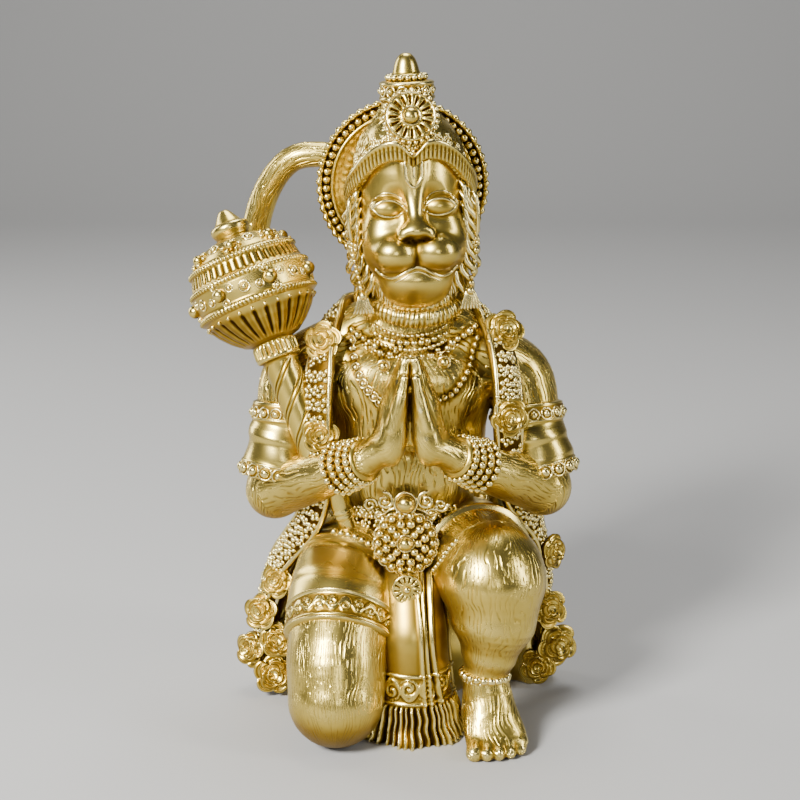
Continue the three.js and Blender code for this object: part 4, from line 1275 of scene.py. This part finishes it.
def make_sleeves(batch):
    outline = [(0.50, -1.2), (0.515, 0.9), (0.53, 1.4), (0.61, 1.5), (0.63, 1.1), (0.66, 1.6), (0.71, 2.0),
               (0.745, 1.6), (0.77, 1.8), (0.82, 2.3), (0.87, 2.6), (0.925, 2.9), (0.94, 2.5), (0.955, -0.8)]
    for arm in ARMS:
        limb = upper_arm(arm)
        shares = np.linspace(0.50, 0.955, 60)
        lifts = np.interp(shares, *zip(*outline))
        lifts = np.convolve(np.pad(lifts, 1, mode="edge"), (0.25, 0.5, 0.25), "valid")
        stations = along_limb(limb, (1, 0, 0), shares, lifts)
        wave = 0.8 if arm["side"] > 0 else -0.8

        def puff(A, T):
            soft = 0.4 * np.sin(2 * A + 9 * T + wave) * window(T, 0.24, 0.36, 0.7, 0.82)
            lines = 0.35 * sum(bump(T, c, 0.008) for c in (0.045, 0.24, 0.79, 0.965))
            return soft + lines

        # Painted shade in the two bands under the rows of beads.
        swept(batch, stations, around=64, along=104, steps=2, cap=0.1, rows=2, relief=puff,
              recess=lambda A, T: 0.6 * ((T > 0.07) & (T < 0.22) | (T > 0.82) & (T < 0.95)))
        band_of_beads(batch, limb, (1, 0, 0), 0.574, 1.7, 17, 1.15, ringed=1.75, squash=0.8)
        band_of_beads(batch, limb, (1, 0, 0), 0.902, 3.0, 17, 1.45, ringed=2.1, squash=0.75)
        fore = fore_arm(arm)
        shares = np.linspace(0.765, 1.0, 40)
        stations = along_limb(fore, (0, 0, 1), shares, 1.0 + 0.3 * np.cos(np.linspace(0, TAU * 4, 40)))
        # Painted shade over the whole cuff under the rows of beads.
        swept(batch, stations, around=44, along=44, across=(0, 0, 1), steps=2, cap=0.1, rows=2,
              recess=lambda A, T: 0.55 + 0 * A)
        for row in range(4):
            band_of_beads(batch, fore, (0, 0, 1), 0.794 + 0.0588 * row, 1.4, 20, 1.12, turn=0.5 * (row % 2))


def make_necklaces(batch):
    body = chest()
    # A collar of beads between two finer rows, then drops that hang from it.
    for rise, out, r, count in ((0.0, 0.0, 1.0, 20), (2.1, -0.5, 0.66, 28), (-2.0, 0.4, 0.68, 29)):
        for angle in np.radians(np.linspace(-86, 86, count)):
            x, y = 0.6 + (13.6 + out) * math.sin(angle), 1.5 - (13.4 + out) * math.cos(angle)
            beads(batch, [(x, y, 121.6 + rise - 4.2 * math.cos(angle) ** 1.5)], r)
    for angle in np.radians(np.linspace(-78, 78, 13)):
        x, z = 0.6 + 14.4 * math.sin(angle), 118.6 - 4.4 * math.cos(angle)
        y = float(drop_on(body, x, z - 1.0)) - 0.4
        floret(batch, (x, y, z - 1.8), (0.05 * x, -1, 0.3), 1.5)
        beads(batch, [(x, y, z - 3.9)], 0.8)
    # Two festoons with a pendant each, and the long strands that go behind the hands.
    for x, z, way in FESTOONS:
        outer, inner = festoon(x, z, way)
        bead_strand(batch, body, outer, 1.05, 2.1, every=3, big=1.4)
        bead_strand(batch, body, inner, 0.95, 1.95)
        y = float(drop_on(body, x, z))
        beads(batch, [(x, y - 0.9, z)], 1.65, fine=True)
        ring(batch, (x, y - 0.5, z), (0, -1, 0.1), 1.8, 0.3)
        beads(batch, [(x, y - 0.3, z - 2.5)], 0.75)
    bead_strand(batch, body, STRANDS[0], 1.0, 2.5, ringed=True)
    bead_strand(batch, body, STRANDS[1], 1.0, 2.0)


def strap_frame(curve):
    """Turn a path's frame so that its depth faces out from the body."""
    out = curve.points - curve.points * (0.25, 0, 1) - (0, 14, 0)
    out -= curve.tangent * (out * curve.tangent).sum(1)[:, None]
    out /= np.linalg.norm(out, axis=1)[:, None]
    curve.deep, curve.side = out, np.cross(out, curve.tangent)
    return curve


GARLANDS = [
    dict(path=[[-14, 12, 124], [-22.5, 0, 122], [-26.5, -13.5, 106], [-27, -17, 88], [-28.5, -10, 65],
               [-36, -2, 51], [-43, 4, 38], [-46.5, 6, 18], [-46, 6, 7]],
         roses=[[(-25.4, -9.5, 117.6), (-0.3, -0.9, 0.3), 1.15], [(-26, -19, 91), (-0.1, -1, 0.2), 1.1],
                [(-41, -1.5, 38.5), (-0.4, -0.85, 0.3), 1.1], [(-46.5, 0, 27.5), (-0.4, -0.85, 0.3), 1.15],
                [(-41.5, -1.5, 18.5), (0, -1, 0.3), 1.1],
                [(-43, -2.5, 7.4), (0.1, -1, 0.25), 1.25], [(-50.3, 3, 13.5), (-0.6, -0.75, 0.2), 1.15]]),
    dict(path=[[14, 12, 124], [23.5, 0, 122], [29, -13, 107], [29.5, -16, 92], [32, -8, 70], [39, 3, 57],
               [43.5, 9, 40], [43, 11, 20], [43, 11, 8]],
         roses=[[(28.6, -6.4, 120), (0.35, -0.85, 0.4), 1.25], [(30, -18.5, 96.5), (0.2, -1, 0.1), 1.15],
                [(46, 5, 46), (0.75, -0.65, 0.1), 1.1], [(45, 4, 27), (0.4, -0.9, 0.3), 1.25],
                [(48, 5, 14.5), (0.35, -0.9, 0.15), 1.35], [(42, 3, 8), (0, -1, 0.1), 1.15]]),
]


def make_garland(batch, number):
    garland = GARLANDS[number]
    curve = strap_frame(Curve([[*p, 5.0, 2.3] for p in garland["path"]], steps=8))
    # The strap is painted dark all over: painted shade under the flowers.
    swept(batch, curve, around=32, along=110, recess=lambda A, T: 0.9 + 0 * A)
    for side in (-1, 1):  # the cords along both edges
        t = np.linspace(0, 1, 60)
        point, across, deep, _, _ = curve.at(t)
        cord = point + side * 4.7 * across + deep * (1.2 + 0.25 * np.sin(40 * t)[:, None])
        swept(batch, [[*p, 0.72] for p in cord], around=8, along=170, steps=3)
    count = int(curve.along[-1] / 4.1)
    rng = np.random.default_rng(3 + number)
    for k in range(count):
        point, side, deep, tangent, _ = [v[0] for v in curve.at(np.array([(k + 0.5) / count]))]
        for column in ((-0.75, 0.75) if k % 2 else (-1.3, 0, 1.3)):
            p = (point + side * column * 2.5 + deep * (2.4 - 0.4 * column * column)
                 + tangent * (0.8 * rng.random() - 0.4))
            facing = unit(deep + side * column * 0.35 + tangent * (0.4 * rng.random() - 0.2))
            flower(batch, p, facing, 2.1 + 0.6 * rng.random(), rng.random() * TAU)
    for place, axis, share in garland["roses"]:
        rose(batch, place, axis, 5.3 * share, seed=rng.random())
    batch.grounded()


BELT_AT = (-0.6, 4, 60)
WAIST = [[-0.5, 6, 41, 27, 20], [-0.2, 4, 52, 24.5, 18.4], [0, 3, 62, 21.4, 16.8]]


def belt_point(angle, radius=25.0, height=0.0):
    """A point of the belt, from the angle round it with 0 at the front, and its outward direction."""
    p = np.array(BELT_AT) + (radius * math.sin(angle), -radius * 0.83 * math.cos(angle), height)
    return p, unit((math.sin(angle) * 0.83, -math.cos(angle), 0.05))


def scroll(batch, centre, R, size, hand=1, thick=0.45, start=0.0):
    """A flat spiral of raised line; R turns its plane, whose normal is local z."""
    coils = 1.4
    points = []
    for s in np.linspace(0, 1, 22):
        a = start + hand * coils * TAU * s
        r = size * (1 - 0.82 * s)
        p = R @ np.array([r * math.cos(a), r * math.sin(a), 0.0]) + np.asarray(centre)
        points.append([*p, thick * (1 - 0.3 * s)])
    swept(batch, points, around=7, along=44, steps=2, rows=2)


def make_belt(batch):
    n = 160
    section = [(-5.2, -1.6), (-4.6, 0.1), (-3.9, 0.5), (-3.2, -0.2), (3.2, -0.2), (3.9, 0.5), (4.6, 0.1),
               (5.2, -1.6), (4.2, -3.2), (-4.2, -3.2)]
    sunk = 2.5 * ramp(-np.cos(turns(n)), 0.4, 0.7)  # under the cloth behind
    rows = [belt_point(TAU * i / n, 25 + out - sunk[i], h)[0] for i in range(n) for h, out in section]
    # Painted shade along the middle of the belt, under the flowers.
    dark = [0.9 if abs(h) < 3.5 else 0.0 for _ in range(n) for h, out in section]
    batch.add(rows, closed_grid(n, len(section)), recess=dark)
    for k in range(38):
        angle = TAU * (k + 0.5) / 38
        if math.cos(angle) < -0.4:  # under the cloth behind
            continue
        for row in (-1.8, 1.9):
            p, out = belt_point(angle + (0.08 if row > 0 else 0), 25.4, row)
            flower(batch, p, out, 1.95, k * 0.7)
    for k in range(-22, 23):
        for row in (-4.3, 4.3):
            p, out = belt_point(TAU * k / 76, 25.4, row)
            beads(batch, [p], 0.85)
    # A row of beads edges the shorts beside the buckle.
    waist = Sculpt()
    for limb in (KNEEL_THIGH, RAISED_THIGH):
        waist.add(tube([[x, y, z, r + 1.5] for x, y, z, r in limb]))
    waist.add(tube(WAIST), k=1)
    line = [(-22.5, 59.6), (-18, 59.4), (-14, 58.3), (-10.4, 56.4), (-7.6, 53.6)]
    bead_strand(batch, waist, line, 1.15, 2.2, lift=0.3)
    bead_strand(batch, waist, [(7.5, 52.0), (9.5, 55.5), (12, 59.5), (15, 63.0)], 0.75, 1.5, lift=0.3)
    # The buckle is a lobed boss of beads, with a jewel between scrolls over it.
    facing = unit((0, -1, 0.16))
    here = np.array([-0.8, -24.8, 59.2])
    R = turned_to(facing, (0, 0, 1))
    plate = [[9.0, -4.4], [9.6, -0.9], [9.2, -0.2], [7.4, 0.2], [4.4, 0.8], [2.6, 1.3], [0.2, 1.6]]
    # Painted shade over the plate under its beads, except at its middle.
    revolved(batch, profile_through(plate, 0.4), here, facing, around=140,
             relief=lambda A, r, H: 0.4 * np.cos(18 * A) * ramp(r, 7, 9),
             recess=lambda A, r, H: 0.8 * ramp(r, 1.0, 2.0))
    beads(batch, [here + facing * 2.3], 2.2, fine=True)
    ring(batch, here + facing * 1.6, facing, 2.5, 0.35, around=32)
    for count, reach, lift, r in ((8, 3.7, 1.5, 1.25), (12, 5.9, 1.0, 1.42), (18, 8.2, 0.4, 1.2)):
        for b in turns(count, 0.5 * (count == 12)):
            p = here + R @ (reach * math.cos(b), reach * math.sin(b), lift)
            beads(batch, [p], r)
            if count == 18:
                ring(batch, p - facing * 0.4, facing, r + 0.42, 0.28, around=12, section=5)
    jewel = np.array([-0.8, -23.6, 71.0])
    beads(batch, [jewel], 2.8, fine=True)
    ring(batch, jewel + (0, 0.5, 0), facing, 3.2, 0.55, around=36)
    for side in (-1, 1):
        scroll(batch, jewel + (side * 6.2, 1.2, 0.6), R, 2.7, hand=side, thick=0.7, start=math.pi / 2)
        beads(batch, [jewel + (side * 6.0, 0.9, 0.4)], 1.2)
        scroll(batch, jewel + (side * 10.6, 3.0, -1.2), R, 2.1, hand=-side, thick=0.6, start=0)
        scroll(batch, jewel + (side * 7.8, 2.2, -4.2), R, 2.0, hand=side, thick=0.6, start=1)
        leaf = [[0.3, -3.0, 0.5], [2.4, -1.6, 0.9], [4.6, -2.2, 1.0], [7.4, -4.0, 0.7], [9.6, -3.2, 0.3]]
        path = [[*(jewel + (side * x, 1.0 + 0.12 * x, z)), r, 0.6 * r] for x, z, r in leaf]
        swept(batch, path, around=10, along=24, steps=4)
        for k in range(6):
            p, out = belt_point(side * (0.40 + 0.11 * k), 25.4, 6.6 - 0.4 * k)
            flower(batch, p, out, 2.0, k)
    # The round pendant that hangs on the front panel, with painted shade in its cut petals.
    low, down = np.array([-0.4, -31.2, 46.7]), unit((0, -1, 0.1))

    def petals(A, radius):
        return ramp(np.cos(13 * A), 0.25, 0.8) * window(radius, 1.8, 2.3, 3.6, 4.0)

    disc = [[4.4, -3.2], [4.6, -0.5], [4.3, 0.3], [3.9, 0.3], [2.6, 0.6], [1.6, 0.4], [0.2, 0.4]]
    revolved(batch, profile_through(disc, 0.22), low, down, around=130,
             relief=lambda A, r, H: -0.7 * petals(A, r), recess=lambda A, r, H: 0.95 * petals(A, r))
    beads(batch, [low + down * 0.6], 1.25)


def scrollwork(u, v, repeat, tall):
    """Relief from 0 to 1 of a running scroll; u goes along the band, v across it from its middle."""
    cell = u / repeat
    i = np.round(cell)
    side = np.where(i % 2 == 0, 1.0, -1.0)
    slope = tall * math.pi / repeat * np.sin(math.pi * cell)
    wave = np.abs(v + tall * np.cos(math.pi * cell)) / np.hypot(1, slope)
    x, y = (cell - i) * repeat, v - side * 0.22 * tall
    reach, turn = np.hypot(x, y), np.arctan2(y * side, x) / TAU
    pitch = 0.62 * tall
    coil = np.abs(((reach / pitch - turn) % 1) - 0.5) * pitch
    spiral = (1 - ramp(coil, 0.13 * tall, 0.27 * tall)) * (reach < 0.98 * tall)
    return np.maximum(1 - ramp(wave, 0.12 * tall, 0.3 * tall), spiral)


def make_shorts(batch):
    swept(batch, WAIST, around=110, along=24,
          relief=lambda A, T: 0.4 * np.cos(9 * A + 3 * T), cap=0.4)
    # Over the kneeling thigh: soft folds, then a patterned hem between two corded edges.
    shares = np.linspace(0, 0.52, 20)
    curve = along_limb(KNEEL_THIGH, (1, 0, 0), shares, np.full(20, 1.3))

    def folds(A, T):
        swag = 1.1 * np.sin(8 * T - 2.6 * np.sin(A) + 0.6) + 0.6 * np.sin(4 * A + 5 * T)
        creases = sum(bump(T - c, 0.09 * np.sin(A + late), 0.022)
                      for c, late in ((0.44, 0.4), (0.62, 1.3), (0.79, 0.2)))
        return (0.8 * swag - 0.6 * creases) * window(T, 0.1, 0.3, 0.7, 0.94)

    swept(batch, curve, around=110, along=60, relief=folds, steps=2, cap=0.04, rows=2)
    shares = np.linspace(0.50, 0.613, 14)
    curve = along_limb(KNEEL_THIGH, (1, 0, 0), shares, np.full(14, 0.9))

    def hem(A, T):
        h = 9.5 * T
        cords = sum(up * bump(h, c, w)
                    for c, w, up in ((0.8, 0.5, 0.7), (1.9, 0.3, 0.35), (7.7, 0.3, 0.35), (8.8, 0.5, 0.7)))
        inside = window(h, 2.0, 2.5, 7.1, 7.6)
        return cords + 0.5 * inside * scrollwork(A * 16.6, h - 4.8, 16.6 * TAU / 26, 1.75)

    # Painted shade in the hem's hollows between its cords and scrolls.
    swept(batch, curve, around=320, along=34, relief=hem, steps=2, cap=0.04, rows=2,
          recess=lambda A, T: 0.45 * (hem(A, T) < 0.12) * (T > 0.1) * (T < 0.9))
    shares = np.linspace(0, 0.61, 20)
    lifts = np.interp(shares, (0, 0.45, 0.61), (0.45, 0.6, 1.3))
    curve = along_limb(RAISED_THIGH, (1, 0, 0), shares, lifts)

    def plain(A, T):
        return 0.6 * np.sin(3 * A + 6 * T) * ramp(-T, -0.9, -0.6) + 0.6 * bump(T, 0.975, 0.016)

    swept(batch, curve, around=110, along=70, relief=plain, steps=2, cap=0.04, rows=2)
    # Beads round the raised ankle.
    band_of_beads(batch, RAISED_SHIN, (1, 0, 0), 0.745, 0.7, 19, 1.4)
    band_of_beads(batch, RAISED_SHIN, (1, 0, 0), 0.775, 0.5, 28, 0.7)


def make_loincloth(batch):
    upper = [[0.6, -17, 50, 8.6, 6.6], [1.0, -22.5, 41, 9.6, 9.6], [1.4, -26, 30, 10.8, 11.8],
             [1.4, -26, 22, 11.4, 12.0], [1.4, -26, 20, 11.5, 12.1]]
    lower = [[1.4, -26, 22.4, 11.4, 12.1], [1.4, -26, 14, 12.1, 12.3], [1.5, -26, 7, 13.6, 13.0],
             [1.6, -26, 0, 16.2, 15.0]]
    for stations, around, along in ((upper, 150, 52), (lower, 308, 62)):
        curve = Curve(stations, steps=6)
        places = np.linspace(0, 1, len(curve.points))

        def weave(A, T):
            height = np.interp(T.ravel(), places, curve.points[:, 2]).reshape(T.shape)
            width = np.interp(T.ravel(), places, curve.size[:, 0]).reshape(T.shape)
            x, front = 1.4 + width * np.cos(A), ramp(np.sin(A), 0.0, 0.35)
            fan = np.clip(1 + 0.3 * (30 - height) / 20, 0.85, 1.5)
            lines = 1.1 * bump(x / fan, 3.9, 0.5) + 1.0 * bump(x / fan, 5.4, 0.45)
            second = 7.0 + 0.16 * np.clip(30 - height, 0, 30)
            lines = lines + 1.0 * bump(x, second, 0.5) - 0.5 * bump(x - second + 1.1, 0, 0.5)
            lines = lines - 0.4 * bump(x / fan, 4.65, 0.3)
            body = (lines * front + 0.6 * np.cos(16 * A) * (1 - front)) * ramp(height, 10.5, 13)
            edges = 0.5 * sum(bump(height, c, 0.45) for c in (21.6, 12.9))
            strands = 0.9 * np.cos(A * 44 + 1.3 * np.sin(7 * A) + 0.5 * np.sin(height))
            strands = strands + 0.35 * np.cos(A * 27 + 1)
            fringe = strands * ramp(-height, -12.4, -10.6)
            fringe = fringe + 0.9 * np.cos(7 * A + 0.7) * ramp(-height, -8, 0)
            inside = window(height, 13.4, 13.9, 20.7, 21.2) * front * (1 - 0.8 * np.clip(np.abs(lines), 0, 1))
            scrolls = scrollwork(width * (math.pi / 2 - A) + 1.2, height - 17.3, 5.4, 2.9)
            return body + edges + fringe + 0.6 * inside * scrolls

        # Painted shade: a little over the whole cloth and more in the hollows of its lines and strands.
        swept(batch, curve, around=around, along=along, relief=weave, cap=0.01, rows=2,
              recess=lambda A, T: np.clip(0.27 - 0.9 * weave(A, T), 0.0, 0.8))
    batch.grounded()


PIECES = (
    ("face", make_face), ("crown_and_halo", make_crown), ("hair", make_hair), ("torso_and_arms", make_torso),
    ("hands", make_hands), ("legs", make_legs), ("drapery", make_drapery), ("shorts_and_anklet", make_shorts),
    ("loincloth", make_loincloth), ("belt", make_belt), ("sleeves_and_bracelets", make_sleeves),
    ("necklaces", make_necklaces), ("garland_left", lambda batch: make_garland(batch, 0)),
    ("garland_right", lambda batch: make_garland(batch, 1)), ("mace", make_mace), ("tail", make_tail),
)

make_camera()
make_studio()
gold = make_gold()
for name, make in PIECES:
    batch = Batch()
    make(batch)
    batch.piece(name, gold)
